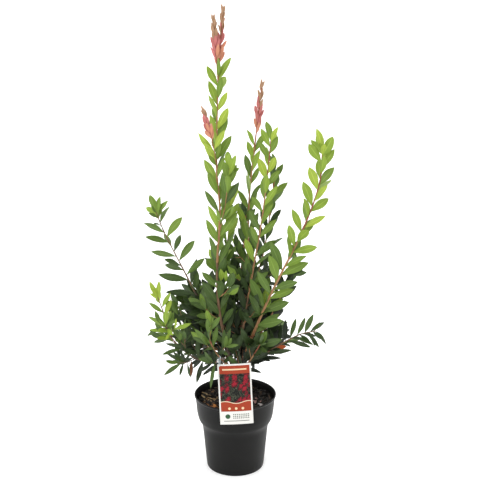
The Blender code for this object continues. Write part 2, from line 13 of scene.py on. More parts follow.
import bpy
import numpy as np
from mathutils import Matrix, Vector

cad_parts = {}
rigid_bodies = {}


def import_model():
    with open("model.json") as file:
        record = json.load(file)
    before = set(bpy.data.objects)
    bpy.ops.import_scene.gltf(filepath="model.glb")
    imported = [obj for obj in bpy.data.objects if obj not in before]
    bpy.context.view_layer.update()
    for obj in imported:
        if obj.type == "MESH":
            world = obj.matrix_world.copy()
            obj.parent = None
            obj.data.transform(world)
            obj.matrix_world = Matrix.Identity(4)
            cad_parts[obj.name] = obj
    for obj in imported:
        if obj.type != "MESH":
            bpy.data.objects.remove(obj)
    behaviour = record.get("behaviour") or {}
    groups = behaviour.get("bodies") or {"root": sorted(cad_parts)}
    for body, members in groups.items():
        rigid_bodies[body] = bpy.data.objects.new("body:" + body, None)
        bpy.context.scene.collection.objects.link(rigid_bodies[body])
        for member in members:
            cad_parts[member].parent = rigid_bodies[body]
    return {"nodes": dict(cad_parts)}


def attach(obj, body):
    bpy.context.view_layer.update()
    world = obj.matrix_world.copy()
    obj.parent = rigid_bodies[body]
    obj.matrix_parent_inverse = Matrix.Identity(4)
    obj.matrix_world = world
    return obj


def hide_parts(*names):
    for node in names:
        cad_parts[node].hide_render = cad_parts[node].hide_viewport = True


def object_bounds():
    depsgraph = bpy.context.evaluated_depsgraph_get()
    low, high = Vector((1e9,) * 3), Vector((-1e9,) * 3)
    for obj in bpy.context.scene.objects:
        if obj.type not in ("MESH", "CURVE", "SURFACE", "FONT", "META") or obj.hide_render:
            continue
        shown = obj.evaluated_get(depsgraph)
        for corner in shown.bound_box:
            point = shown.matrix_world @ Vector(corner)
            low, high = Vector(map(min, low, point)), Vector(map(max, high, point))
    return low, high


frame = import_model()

# Blender's own starting objects would count as pieces and widen the box, so they go first.
for spare in [thing for thing in bpy.data.objects if thing.name in ("Cube", "Light", "Camera")]:
    bpy.data.objects.remove(spare)
cad_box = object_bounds()
MM = 0.001
print(len(frame["nodes"]), "nodes in a box of", [[round(v, 3) for v in c] for c in cad_box])

# %% [markdown]
# ## The camera
# The photograph looks slightly down at the plant from about 1.75 m away with a longish lens.
# The camera comes first, so that every later look at the model is in the photograph's frame.

# %% Camera
CAMERA_PLACE = (0.0116, -1.750, 0.940)
CAMERA_DOWN = math.radians(12.0)
CAMERA_LENS = 57.33
CAMERA_FILM = 36.0

lens = bpy.data.cameras.new("camera")
lens.lens = CAMERA_LENS
lens.sensor_width = CAMERA_FILM
camera = bpy.data.objects.new("camera", lens)
camera.location = CAMERA_PLACE
camera.rotation_euler = (math.radians(90.0) - CAMERA_DOWN, 0.0, 0.0)
bpy.context.scene.collection.objects.link(camera)
bpy.context.scene.camera = camera
print("camera at", CAMERA_PLACE, "with a lens of", CAMERA_LENS, "mm")

# %% [markdown]
# ## Two tools that every piece uses
# A piece is a set of points in rows and rings, joined by four-sided faces. `skin` numbers those
# faces and closes both ends, and `add_piece` turns any number of such skins into one mesh.
# Writing the arrays straight into the mesh is far quicker than adding faces one at a time.


# %% Skins and meshes
def skin(points, finish=0, uv=None):
    """Faces for points in rows of closed rings: each face joins two neighbours of one ring to
    the two above them, and each end ring is closed by strips from one of its sides to the other.
    """
    rows, sides = points.shape[:2]
    number = np.arange(rows * sides).reshape(rows, sides)
    turned = np.roll(number, -1, axis=1)
    wall = np.stack([number[:-1], turned[:-1], turned[1:], number[1:]], axis=2).reshape(-1, 4)
    i = np.arange(sides // 2 - 1)
    cap = np.stack([i, i + 1, sides - 2 - i, sides - 1 - i], axis=1)
    faces = np.vstack([wall, number[0][cap[:, ::-1]], number[-1][cap]])
    finish = np.broadcast_to(finish, rows - 1)
    finishes = np.concatenate([np.repeat(finish, sides), np.full(len(cap), finish[0]),
                               np.full(len(cap), finish[-1])])
    if uv is None:
        round_it, up_it = np.meshgrid(np.arange(sides) / sides, np.linspace(0.0, 1.0, rows))
        uv = np.stack([round_it, up_it], axis=2)
    return points.reshape(-1, 3), faces, finishes, uv.reshape(-1, 2)


def joined(skins):
    """Several skins as one, with the face numbers of each moved on past the points before it."""
    starts = np.cumsum([0] + [len(s[0]) for s in skins[:-1]])
    faces = np.concatenate([s[1] + start for s, start in zip(skins, starts)])
    return (np.concatenate([s[0] for s in skins]), faces, np.concatenate([s[2] for s in skins]),
            np.concatenate([s[3] for s in skins]))


def add_piece(name, shape, finishes, replaced, sharp=40.0):
    """One mesh object from points, faces, each face's finish and each point's place on its map."""
    points, faces, face_finish, uv = shape
    mesh = bpy.data.meshes.new(name)
    mesh.vertices.add(len(points))
    mesh.vertices.foreach_set("co", np.ascontiguousarray(points, np.float32).ravel())
    mesh.loops.add(faces.size)
    mesh.loops.foreach_set("vertex_index", np.ascontiguousarray(faces, np.int32).ravel())
    mesh.polygons.add(len(faces))
    mesh.polygons.foreach_set("loop_start", np.arange(0, faces.size, 4, dtype=np.int32))
    mesh.polygons.foreach_set("material_index", np.ascontiguousarray(face_finish, np.int32))
    mesh.update(calc_edges=True)
    layer = mesh.uv_layers.new(name="map")
    layer.data.foreach_set("uv", np.ascontiguousarray(uv[faces.ravel()], np.float32).ravel())
    mesh.shade_smooth()
    mesh.set_sharp_from_angle(angle=math.radians(sharp))
    for finish in finishes:
        mesh.materials.append(finish)
    piece = bpy.data.objects.new(name, mesh)
    bpy.context.scene.collection.objects.link(piece)
    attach(piece, "root")
    if replaced:
        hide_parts(*replaced)
    print(f"{name}: {len(faces)} faces")
    return piece


# %% [markdown]
# ## Finishes
# Every finish is one Principled shader. Its colour comes from two close tones that a noise
# pattern mixes, so no surface is perfectly even, and a second noise gives it a fine relief.
# Colours are written as they look on screen, 0 to 255, and turned into light values here.


# %% A maker of finishes
SCREEN_CURVE = 2.2


def light(red, green, blue):
    """Screen values from 0 to 255 as light values: (v / 255) raised to the screen's curve."""
    return (*(np.array((red, green, blue), float) / 255.0) ** SCREEN_CURVE, 1.0)


def wire(finish, kind, settings=None, **inputs):
    """A shader node with its settings made and its sockets given a value or joined to another's.
    A socket is named by its name, or by i and its number where several share a name."""
    node = finish.node_tree.nodes.new(kind)
    for key, value in (settings or {}).items():
        setattr(node, key, value)
    for key, value in inputs.items():
        socket = node.inputs[int(key[1:]) if key[0] == "i" and key[1:].isdigit() else key]
        if isinstance(value, bpy.types.NodeSocket):
            finish.node_tree.links.new(value, socket)
        else:
            socket.default_value = value
    return node


def mixed(finish, share, one, other):
    """The colour that lies a share of the way from one to the other."""
    node = wire(finish, "ShaderNodeMix", {"data_type": "RGBA"}, i0=share, i6=one, i7=other)
    return node.outputs[2]


def finish_of(name, tone, other, grain=40.0, relief=0.1, relief_grain=200.0, roughness=0.6,
              stretch=(1.0, 1.0, 1.0), depth=1.0 * MM, specular=0.5):
    """Two tones mixed by noise, with a finer noise as relief, both stretched along an axis."""
    finish = bpy.data.materials.new(name)
    finish.use_nodes = True
    shader = finish.node_tree.nodes["Principled BSDF"]
    place = wire(finish, "ShaderNodeTexCoord").outputs["Object"]
    place = wire(finish, "ShaderNodeMapping", Vector=place, Scale=stretch).outputs["Vector"]
    patches = wire(finish, "ShaderNodeTexNoise", Vector=place, Scale=grain, Detail=4.0)
    colour = mixed(finish, patches.outputs["Fac"], light(*tone), light(*other))
    finish.node_tree.links.new(colour, shader.inputs["Base Color"])
    bumps = wire(finish, "ShaderNodeTexNoise", Vector=place, Scale=relief_grain, Detail=3.0)
    bump = wire(finish, "ShaderNodeBump", Height=bumps.outputs["Fac"], Strength=relief,
                Distance=depth)
    finish.node_tree.links.new(bump.outputs["Normal"], shader.inputs["Normal"])
    shader.inputs["Roughness"].default_value = roughness
    shader.inputs["Specular IOR Level"].default_value = specular
    return finish, shader, colour


# %% [markdown]
# ## The pot
# A blow-moulded nursery pot: a tapering bucket under a deeper collar, with a rolled lip. Its
# wall is a profile turned round the upright axis. Cutting each corner of the profile twice
# gives the soft edges that such a pot has, where a bevel would need the corners picked by hand.

# %% Pot
POT_OUTSIDE = (
    # radius and height of the outer wall in mm, from the underside to the lip
    (66.0, 0.0), (69.2, 1.2), (70.6, 5.0), (79.4, 100.0), (81.0, 109.0), (84.5, 117.0),
    (89.5, 124.5), (91.8, 134.0), (93.8, 143.0), (97.0, 181.0), (99.2, 182.6), (100.0, 185.0),
    (99.2, 186.4), (97.4, 186.4),
)
POT_WALL = 2.0
POT_FLOOR = 2.5
POT_MIDDLE = 6.0
POT_SEGMENTS = 144


def cut_corners(profile, times):
    """Each corner becomes two points, a quarter and three quarters of the way along its sides."""
    profile = np.asarray(profile, float)
    for _ in range(times):
        a, b = profile[:-1], profile[1:]
        inner = np.stack([0.75 * a + 0.25 * b, 0.25 * a + 0.75 * b], axis=1).reshape(-1, 2)
        profile = np.vstack([profile[:1], inner, profile[-1:]])
    return profile


def turned(profile, segments):
    """A profile carried round the upright axis: x = r cos a, y = r sin a, z as it stands."""
    angle = np.linspace(0.0, 2.0 * np.pi, segments, endpoint=False)
    radius, height = profile[:, :1], profile[:, 1:]
    return np.stack([radius * np.cos(angle), radius * np.sin(angle),
                     np.broadcast_to(height, (len(profile), segments))], axis=2)


outside = cut_corners(POT_OUTSIDE, 2)
inner_wall = np.array([(r - POT_WALL, z) for r, z in POT_OUTSIDE[3:10]][::-1])
inside = np.vstack([cut_corners(inner_wall, 2), [(68.5, POT_FLOOR + 4.0), (66.0, POT_FLOOR)]])
pot_profile = np.vstack([[(POT_MIDDLE, 0.0)], outside, inside, [(POT_MIDDLE, POT_FLOOR)]]) * MM

plastic, _, _ = finish_of(
    "pot_plastic", (24, 24, 24), (29, 29, 28), grain=9.0, relief=0.12, relief_grain=900.0,
    roughness=0.46, depth=0.3 * MM, stretch=(1.0, 1.0, 0.6), specular=0.14)
add_piece("pot_shell", skin(turned(pot_profile, POT_SEGMENTS)), [plastic], ["pot"], 60.0)

# %% [markdown]
# ## The soil
# Potting mix is dark bark and peat with pale chips. Its top is a turned disc whose height is a
# sum of waves with a rough grain on it. The net of the grain is fixed by its own seed.

# %% Soil
SOIL_TOP = 170.0
SOIL_RIPPLE = 1.6 * MM
SOIL_LEVEL_RADIUS = 24.0 * MM
SOIL_BLEND = 30.0 * MM
GRAIN_HEIGHT = 1.5 * MM
GRAIN_CELLS = (6.0 * MM, 3.0 * MM)
NET = 64
SOIL_RINGS = 70
SOIL_SEGMENTS = 180
EDGE_DROP = 4.0
GAP = 0.3


def smooth_noise(x, y, cell, rng):
    """Random heights on a square net of cells, blended evenly between the net's corners."""
    net = rng.uniform(-1.0, 1.0, (NET, NET))
    u, v = x / cell + NET / 2, y / cell + NET / 2
    i, j = np.floor(u).astype(int) % (NET - 1), np.floor(v).astype(int) % (NET - 1)
    fu, fv = u - np.floor(u), v - np.floor(v)
    fu, fv = fu * fu * (3.0 - 2.0 * fu), fv * fv * (3.0 - 2.0 * fv)
    return ((net[i, j] * (1 - fu) + net[i + 1, j] * fu) * (1 - fv)
            + (net[i, j + 1] * (1 - fu) + net[i + 1, j + 1] * fu) * fv)


def soil_height(x, y):
    """The solid's long waves, none near the trunk, with grain of two sizes added on top."""
    rng = np.random.default_rng(5)
    away = np.clip((np.hypot(x, y) - SOIL_LEVEL_RADIUS) / SOIL_BLEND, 0.0, 1.0)
    waves = SOIL_RIPPLE * away * (np.sin(90.0 * x + 1.0) + np.cos(110.0 * y - 60.0 * x))
    coarse, fine = (smooth_noise(x, y, cell, rng) for cell in GRAIN_CELLS)
    grain = coarse + 0.7 * fine
    return waves + GRAIN_HEIGHT * grain


soil_wall = np.array([(r - POT_WALL - GAP, z) for r, z in POT_OUTSIDE[3:9]])
collar = np.array(POT_OUTSIDE[8:10])
soil_edge = np.interp(SOIL_TOP - EDGE_DROP, collar[:, 1], collar[:, 0]) - POT_WALL - GAP
rings = np.linspace(soil_edge - 0.8, 3.0, SOIL_RINGS)
soil_profile = np.vstack([[(POT_MIDDLE, POT_FLOOR + GAP), (65.5, POT_FLOOR + GAP)], soil_wall,
                          [(soil_edge, SOIL_TOP - EDGE_DROP)],
                          np.stack([rings, np.full(SOIL_RINGS, SOIL_TOP)], axis=1)]) * MM
soil_points = turned(soil_profile, SOIL_SEGMENTS)
on_top = slice(len(soil_profile) - SOIL_RINGS, None)
soil_points[on_top, :, 2] += soil_height(soil_points[on_top, :, 0], soil_points[on_top, :, 1])
mix, _, _ = finish_of("potting_mix", (12, 10, 8), (24, 20, 15), grain=160.0, relief=0.9,
                      relief_grain=500.0, roughness=0.95, depth=1.5 * MM, specular=0.2)
add_piece("soil_bed", skin(soil_points), [mix], ["soil"], 180.0)

# %% [markdown]
# ## Flakes of bark on the soil
# A flake is a small six-sided slab, longer than it is wide, turned and tilted. A whole drift is
# made at once: one array holds the centre, size and turn of every flake in it. Most are dark or
# brown and lie everywhere. Tan flakes and slim straws gather at the left, a few orange ones at
# the front left, and pink and white ones at the right, as in the photograph.

# %% Flakes
FLAKE_REACH = 88.0
FLAKE_MARGIN = 0.65
FLAKE_WIDTHS = (0.35, 0.7)
FLAKE_CORNERS = (0.75, 1.2)
FLAKE_THICKNESS = (0.7, 1.6)
FLAKE_TILT = 0.35
DARK, BROWN, TAN, PINK, ORANGE, STRAW, WHITE = range(7)
DRIFTS = (
    # how many, lengths in mm, finish, breadth, where they gather and how widely
    (620, (4.0, 13.0), DARK, 1.0, None, None),
    (110, (5.0, 15.0), BROWN, 1.0, None, None),
    (14, (7.0, 20.0), TAN, 1.0, (-62.0, -14.0), (15.0, 30.0)),
    (5, (8.0, 18.0), TAN, 1.0, (-52.0, -58.0), (12.0, 10.0)),
    (16, (14.0, 30.0), STRAW, 0.28, (-60.0, 6.0), (14.0, 26.0)),
    (5, (9.0, 16.0), PINK, 1.0, (54.0, -20.0), (3.5, 6.0)),
    (6, (8.0, 15.0), WHITE, 1.0, (63.0, -37.0), (4.0, 5.0)),
    (14, (2.5, 5.0), PINK, 1.0, None, None),
    (4, (14.0, 24.0), ORANGE, 1.0, (-53.0, -47.0), (5.0, 3.0)),
)


def scattered(count, rng, centre, spread, reach=FLAKE_REACH):
    """Places on the soil: evenly over the disc, or gathered round a centre."""
    angle = rng.uniform(0.0, 2.0 * np.pi, count)
    radius = reach * np.sqrt(rng.uniform(0.02, 1.0, count))
    xy = np.stack([radius * np.cos(angle), radius * np.sin(angle)], axis=1)
    if centre is not None:
        xy = np.array(centre) + rng.normal(0.0, 1.0, (count, 2)) * spread
    far = np.hypot(*xy.T)
    return xy * np.minimum(1.0, reach / np.maximum(far, 1e-6))[:, None] * MM


def flakes(xy, length, rng, finish, breadth):
    """Slabs of six corners top and bottom, turned by a random angle, tilted a little, and moved
    in as far as their length needs to stay within the wall."""
    count = len(xy)
    angle = np.arange(6) * np.pi / 3.0
    size = rng.uniform(*length, count)[:, None] * MM
    room = soil_edge * MM - FLAKE_MARGIN * size
    xy = xy * np.minimum(1.0, room / np.hypot(*xy.T)[:, None])
    width = size * rng.uniform(*FLAKE_WIDTHS, (count, 1)) * breadth
    jitter = rng.uniform(*FLAKE_CORNERS, (count, 6))
    flat = np.stack([size * np.cos(angle) * jitter, width * np.sin(angle) * jitter], axis=2) * 0.5
    turn = rng.uniform(0.0, 2.0 * np.pi, count)
    c, s = np.cos(turn)[:, None], np.sin(turn)[:, None]
    x, y = flat[..., 0] * c - flat[..., 1] * s, flat[..., 0] * s + flat[..., 1] * c
    tilt = rng.normal(0.0, FLAKE_TILT, (count, 2))
    z = x * tilt[:, :1] + y * tilt[:, 1:]
    base = SOIL_TOP * MM + soil_height(*xy.T) + rng.uniform(0.2, 1.6, count) * MM
    thick = rng.uniform(*FLAKE_THICKNESS, (count, 1)) * MM
    centre = np.stack([xy[:, 0], xy[:, 1], base], axis=1)[:, None, :]
    low, high = (np.stack([x, y, z + h * thick], axis=2) + centre for h in (-0.5, 0.5))
    return [skin(np.stack([a, b]), finish) for a, b in zip(low, high)]


rng = np.random.default_rng(41)
chips = []
for many, lengths, tone, breadth, centre, spread in DRIFTS:
    chips += flakes(scattered(many, rng, centre, spread), lengths, rng, tone, breadth)
chip_tones = (
    ("flake_dark", (17, 13, 9), (32, 25, 17)), ("flake_brown", (40, 29, 18), (68, 50, 31)),
    ("flake_tan", (92, 67, 38), (128, 96, 60)), ("flake_pink", (128, 92, 88), (166, 132, 126)),
    ("flake_orange", (156, 96, 44), (184, 124, 66)),
    ("flake_straw", (128, 108, 76), (168, 146, 108)),
    ("flake_white", (176, 166, 164), (208, 202, 200)),
)
add_piece("bark_flakes", joined(chips),
          [finish_of(n, a, b, grain=300.0, relief=0.5, relief_grain=900.0, roughness=0.85)[0]
           for n, a, b in chip_tones], [], 30.0)

# %% [markdown]
# ## The picture card and its strap
# The card is a stiff plate that bows a little, leans back on the lip and is turned a little.
# The solid's formula places every point of it, so plate and picture sit where the solid did.

# %% Card
CARD_WIDTH = 77.3 * MM
CARD_HEIGHT = 144.6 * MM
CARD_THICKNESS = 0.7 * MM
CARD_CENTRE_X = 1.2 * MM
CARD_CENTRE_Z = 224.9 * MM
CARD_TURN = math.radians(2.7)
CARD_LEAN = math.radians(3.5)
CARD_BOW = 2.2 * MM
LIP_RADIUS = 100.0 * MM
LIP_HEIGHT = 185.0 * MM


def card_point(u, v, back=0.0):
    """The point u across and v up the card: turned in its plane, leant back from the lip by
    the tangent of the lean, and bowed forward at the middle by a parabola across it."""
    across, rise = (u - 0.5) * CARD_WIDTH, (v - 0.5) * CARD_HEIGHT
    x = CARD_CENTRE_X + across * math.cos(CARD_TURN) - rise * math.sin(CARD_TURN)
    z = CARD_CENTRE_Z + across * math.sin(CARD_TURN) + rise * math.cos(CARD_TURN)
    y = -LIP_RADIUS - GAP * MM - CARD_THICKNESS + (z - LIP_HEIGHT) * math.tan(CARD_LEAN)
    return np.stack([x, y + CARD_BOW * (2.0 * u - 1.0) ** 2 + back, z], axis=-1)


print("card of", round(CARD_WIDTH / MM, 1), "by", round(CARD_HEIGHT / MM, 1), "mm")

# %% [markdown]
# What the card shows is a design of its own: ragged crimson heads on a leafy ground between two
# orange bands, with a line, three dots, a disc and rows of beads. An image could be laid on it,
# but a finish that draws by arithmetic on the card's map stays sharp at any distance.

# %% The card's design
# Places on the map, which runs from 0 to 1: from and to across, from and to upward.
PICTURE = (0.045, 0.955, 0.215, 0.975)
LINE = (0.14, 0.86, 0.898, 0.922)
DOTS = (0.2, 0.8, 0.2105, 0.3157)
STRIP = (0.12, 0.88, 0.05, 0.062)
BEADS = (0.39, 0.89, 0.088, 0.177)
TOP_BAND = 0.84
HILL = 0.36
HILL_SWELL = 0.018
HILL_RIM = 0.012
HEAD_REACH = 1.24
CORE_REACH = 1.09


def printed_card():
    """A bright card whose colour is picked from its map: bands by height, heads by a ragged
    distance to scattered centres, and paper wherever the map comes close to the card's edge."""
    card, shader, _ = finish_of("card_print", (214, 213, 208), (222, 221, 217), grain=6.0,
                                relief=0.02, roughness=0.5, depth=0.1 * MM, specular=0.2)
    place = wire(card, "ShaderNodeTexCoord").outputs["UV"]
    parts = wire(card, "ShaderNodeSeparateXYZ", Vector=place)
    u, v = parts.outputs["X"], parts.outputs["Y"]

    def sums(operation, first, second=0.0):
        """One step of arithmetic between two values."""
        return wire(card, "ShaderNodeMath", {"operation": operation}, i0=first, i1=second).outputs[0]

    def between(value, low, high):
        """One where the value is over low and under high, otherwise nought."""
        return sums("MULTIPLY", sums("GREATER_THAN", value, low), sums("LESS_THAN", value, high))

    def within(left, right, low, high):
        """One inside a rectangle of the map."""
        return sums("MULTIPLY", between(u, left, right), between(v, low, high))

    def scaled(across, upward):
        """The map stretched by a factor each way."""
        node = wire(card, "ShaderNodeMapping", Vector=place, Scale=(across, upward, 1.0))
        return node.outputs["Vector"]

    def disc(spot, centre, radius):
        """One where the spot is nearer to the centre than the radius."""
        far = wire(card, "ShaderNodeVectorMath", {"operation": "DISTANCE"}, i0=spot, i1=centre)
        return sums("LESS_THAN", far.outputs["Value"], radius)

    def discs(across, upward, radius):
        """A disc in every cell: the part after the point of the stretched map is a cell's own."""
        cells = wire(card, "ShaderNodeVectorMath", {"operation": "FRACTION"},
                     i0=scaled(across, upward))
        return disc(cells.outputs[0], (0.5, 0.5, 0.0), radius)

    square = scaled(1.0, 1.9)
    leafy = wire(card, "ShaderNodeTexNoise", Vector=square, Scale=15.0, Detail=6.0, Distortion=1.5)
    ramp = wire(card, "ShaderNodeValToRGB", i0=leafy.outputs["Fac"])
    for stop, position, tone in zip(ramp.color_ramp.elements, (0.46, 0.68),
                                    ((10, 13, 12), (76, 80, 64))):
        stop.position = position
        stop.color = light(*tone)
    fringe = wire(card, "ShaderNodeTexNoise", Vector=square, Scale=19.0, Detail=5.0, Roughness=0.7)
    slanted = wire(card, "ShaderNodeMapping", {"vector_type": "TEXTURE"}, Vector=square,
                   Rotation=(0.0, 0.0, 1.1), Scale=(0.24, 0.15, 1.0))
    blooms = wire(card, "ShaderNodeTexVoronoi", {"feature": "F1"}, Scale=1.0, Randomness=0.9,
                  Vector=slanted.outputs["Vector"])
    fuzzy = sums("ADD", blooms.outputs["Distance"], sums("MULTIPLY", fringe.outputs["Fac"], 1.5))
    hill = sums("SINE", sums("MULTIPLY", u, 9.0))
    hill = sums("ADD", sums("MULTIPLY", hill, HILL_SWELL), HILL)
    rim = between(sums("SUBTRACT", v, hill), 0.0, HILL_RIM)
    dots = sums("MULTIPLY", within(*DOTS), discs(5.0, 9.5, 0.2))
    beads = sums("MULTIPLY", within(*BEADS), discs(18.0, 34.0, 0.34))
    design = ramp.outputs["Color"]
    for share, tone in (
            (sums("LESS_THAN", fuzzy, HEAD_REACH), (84, 16, 28)),
            (sums("LESS_THAN", fuzzy, CORE_REACH), (136, 26, 40)),
            (sums("LESS_THAN", v, hill), (148, 58, 36)),
            (rim, (214, 198, 168)),
            (sums("GREATER_THAN", v, TOP_BAND), (148, 58, 36)),
            (within(*LINE), (216, 190, 152)),
            (dots, (216, 190, 152))):
        design = mixed(card, share, design, light(*tone))
    paper = light(212, 211, 206)
    for share, tone in (
            (within(*STRIP), (96, 100, 92)),
            (disc(square, (0.24, 0.25, 0.0), 0.075), (52, 82, 56)),
            (beads, (86, 96, 84))):
        paper = mixed(card, share, paper, light(*tone))
    colour = mixed(card, within(*PICTURE), paper, design)
    card.node_tree.links.new(colour, shader.inputs["Base Color"])
    return card


print("the picture covers", PICTURE, "of the card's map")

# %% [markdown]
# The plate is one skin: each ring runs along the front from edge to edge and back behind it.

# %% The card's plate
columns, card_rows = 24, 40
u_row, v_row = np.linspace(0.0, 1.0, columns + 1), np.linspace(0.0, 1.0, card_rows + 1)
u_ring = np.concatenate([u_row, u_row[::-1]])[None, :] + 0.0 * v_row[:, None]
back_ring = np.concatenate([np.zeros(columns + 1), np.full(columns + 1, CARD_THICKNESS)])
card_points = card_point(u_ring, v_row[:, None] + 0.0 * u_ring, back_ring)
card_map = np.stack([u_ring, v_row[:, None] + 0.0 * u_ring], axis=2)
shape = skin(card_points, 0, card_map)
wall = np.arange(card_rows * 2 * (columns + 1)) % (2 * (columns + 1))
shape[2][:len(wall)] = np.where(wall < columns, 0, 1)
shape[2][len(wall):] = 1
card_back, _, _ = finish_of("card_back", (226, 226, 222), (238, 238, 235), grain=20.0, relief=0.03,
                            roughness=0.45)
add_piece("picture_card", shape, [printed_card(), card_back], ["card"], 30.0)

# %% [markdown]
# A pale plastic strap loops round the low bough at the front and comes down to the card's
# top corner. It is one flat ribbon: a thin rectangle carried along a path.


# %% Paths and tubes
def unit(vectors):
    """The same directions with length one."""
    return vectors / np.linalg.norm(vectors, axis=-1, keepdims=True)


def along(route):
    """How far along the route each of its points lies: the running sum of the steps."""
    return np.concatenate([[0.0], np.cumsum(np.linalg.norm(np.diff(route, axis=0), axis=1))])


def smooth_route(through, step):
    """Points a step apart on the Catmull-Rom curve: between two knots it is the cubic whose
    slope at each is half the way from the knot before to the knot after."""
    knots = np.asarray(through, float)
    padded = np.vstack([2.0 * knots[0] - knots[1], knots, 2.0 * knots[-1] - knots[-2]])
    a, b, c, d = (padded[i:len(padded) - 3 + i, None] for i in range(4))
    t = np.linspace(0.0, 1.0, 24, endpoint=False)[:, None]
    fine = 0.5 * (2.0 * b + (c - a) * t + (2.0 * a - 5.0 * b + 4.0 * c - d) * t**2
                  + (3.0 * b - a - 3.0 * c + d) * t**3)
    fine = np.vstack([fine.reshape(-1, 3), knots[-1:]])
    length = along(fine)
    places = np.linspace(0.0, length[-1], max(3, round(length[-1] / step) + 1))
    return np.stack([np.interp(places, length, fine[:, k]) for k in range(3)], axis=1)


def frames(route):
    """The way ahead at each point, and two unit vectors square to it: the way ahead crossed
    with the axis that the whole route follows least, and that crossed with it again."""
    ahead = unit(np.gradient(route, axis=0))
    axis = np.eye(3)[np.argmin(np.abs(ahead).max(axis=0))]
    across = unit(np.cross(axis, ahead))
    return ahead, across, np.cross(ahead, across)


def at(route, places):
    """Points of a route, and its three frame vectors, at distances along it."""
    length = along(route)
    rows = [np.stack([np.interp(places, length, r[:, k]) for k in range(3)], axis=-1)
            for r in (route, *frames(route))]
    return rows[0], unit(rows[1]), unit(rows[2]), unit(rows[3])


def tube(route, radius, sides, relief=0.0):
    """Rings round a route: point + radius (1 + relief) (across cos a + up sin a)."""
    _, across, up = frames(route)
    angle = np.linspace(0.0, 2.0 * np.pi, sides, endpoint=False)[None, :, None]
    ring = across[:, None] * np.cos(angle) + up[:, None] * np.sin(angle)
    size = np.broadcast_to(np.asarray(radius)[:, None], (len(route), sides)) * (1.0 + relief)
    return route[:, None] + ring * size[..., None]


def tapered(route, thick, thin, power=1.0):
    """Radii that fall from thick to thin by a power of the share of the way along."""
    share = along(route) / along(route)[-1]
    return thick + (thin - thick) * share ** power


# %% [markdown]
# ## Limbs
# The plant's fifteen shoots leave the short trunk one after another. Each is given by a few
# points in millimetres that its stem passes through, read off the photograph for the ones in
# front and spread evenly behind. A shoot also says how light its leaves are at its foot and
# tip, because old leaves in the shade are deep green and those near the light yellow green.
# Each draws from its own seed, so one shoot can be changed while the others stay as they are.


# %% The shoots
@dataclass
class Shoot:
    """One limb with its growth: lengths in mm, leaf openings in degrees from the stem.

    through: points that the stem passes through. girth: its radius at the foot. bare: how far
    up the limb has no leaves in the solid. tones: leaves' tone at foot and tip, 0 dark to 1 light.
    spacing, leaf, breadth: distance between leaves, their length, a factor on their width.
    lift: how much upward (or, below nought, downward) joins a leaf's heading, foot and tip.
    twigs, twig_length, twig_zone: how many, how long, on which share of the leafy part.
    young: length of new growth at the tip. tuft: extra leaves at the tip. depth: how much
    leaves spread toward and away from the camera. wood: the shares of the stem at which its
    bark turns brown, tan and red. sides: side shoots' points, new growth and tone."""

    name: str
    through: tuple
    girth: float
    bare: float
    tones: tuple
    spacing: float = 12.5
    leaf: float = 60.0
    breadth: float = 1.0
    opening: tuple = (52.0, 30.0)
    lift: tuple = (0.2, 0.2)
    twigs: int = 5
    twig_length: float = 85.0
    twig_zone: float = 0.5
    young: float = 0.0
    tuft: int = 2
    depth: float = 0.7
    wood: tuple = (0.12, 0.35, 0.8)
    slot: str = "leaf_low"
    sides: tuple = ()
    seed: int = 1


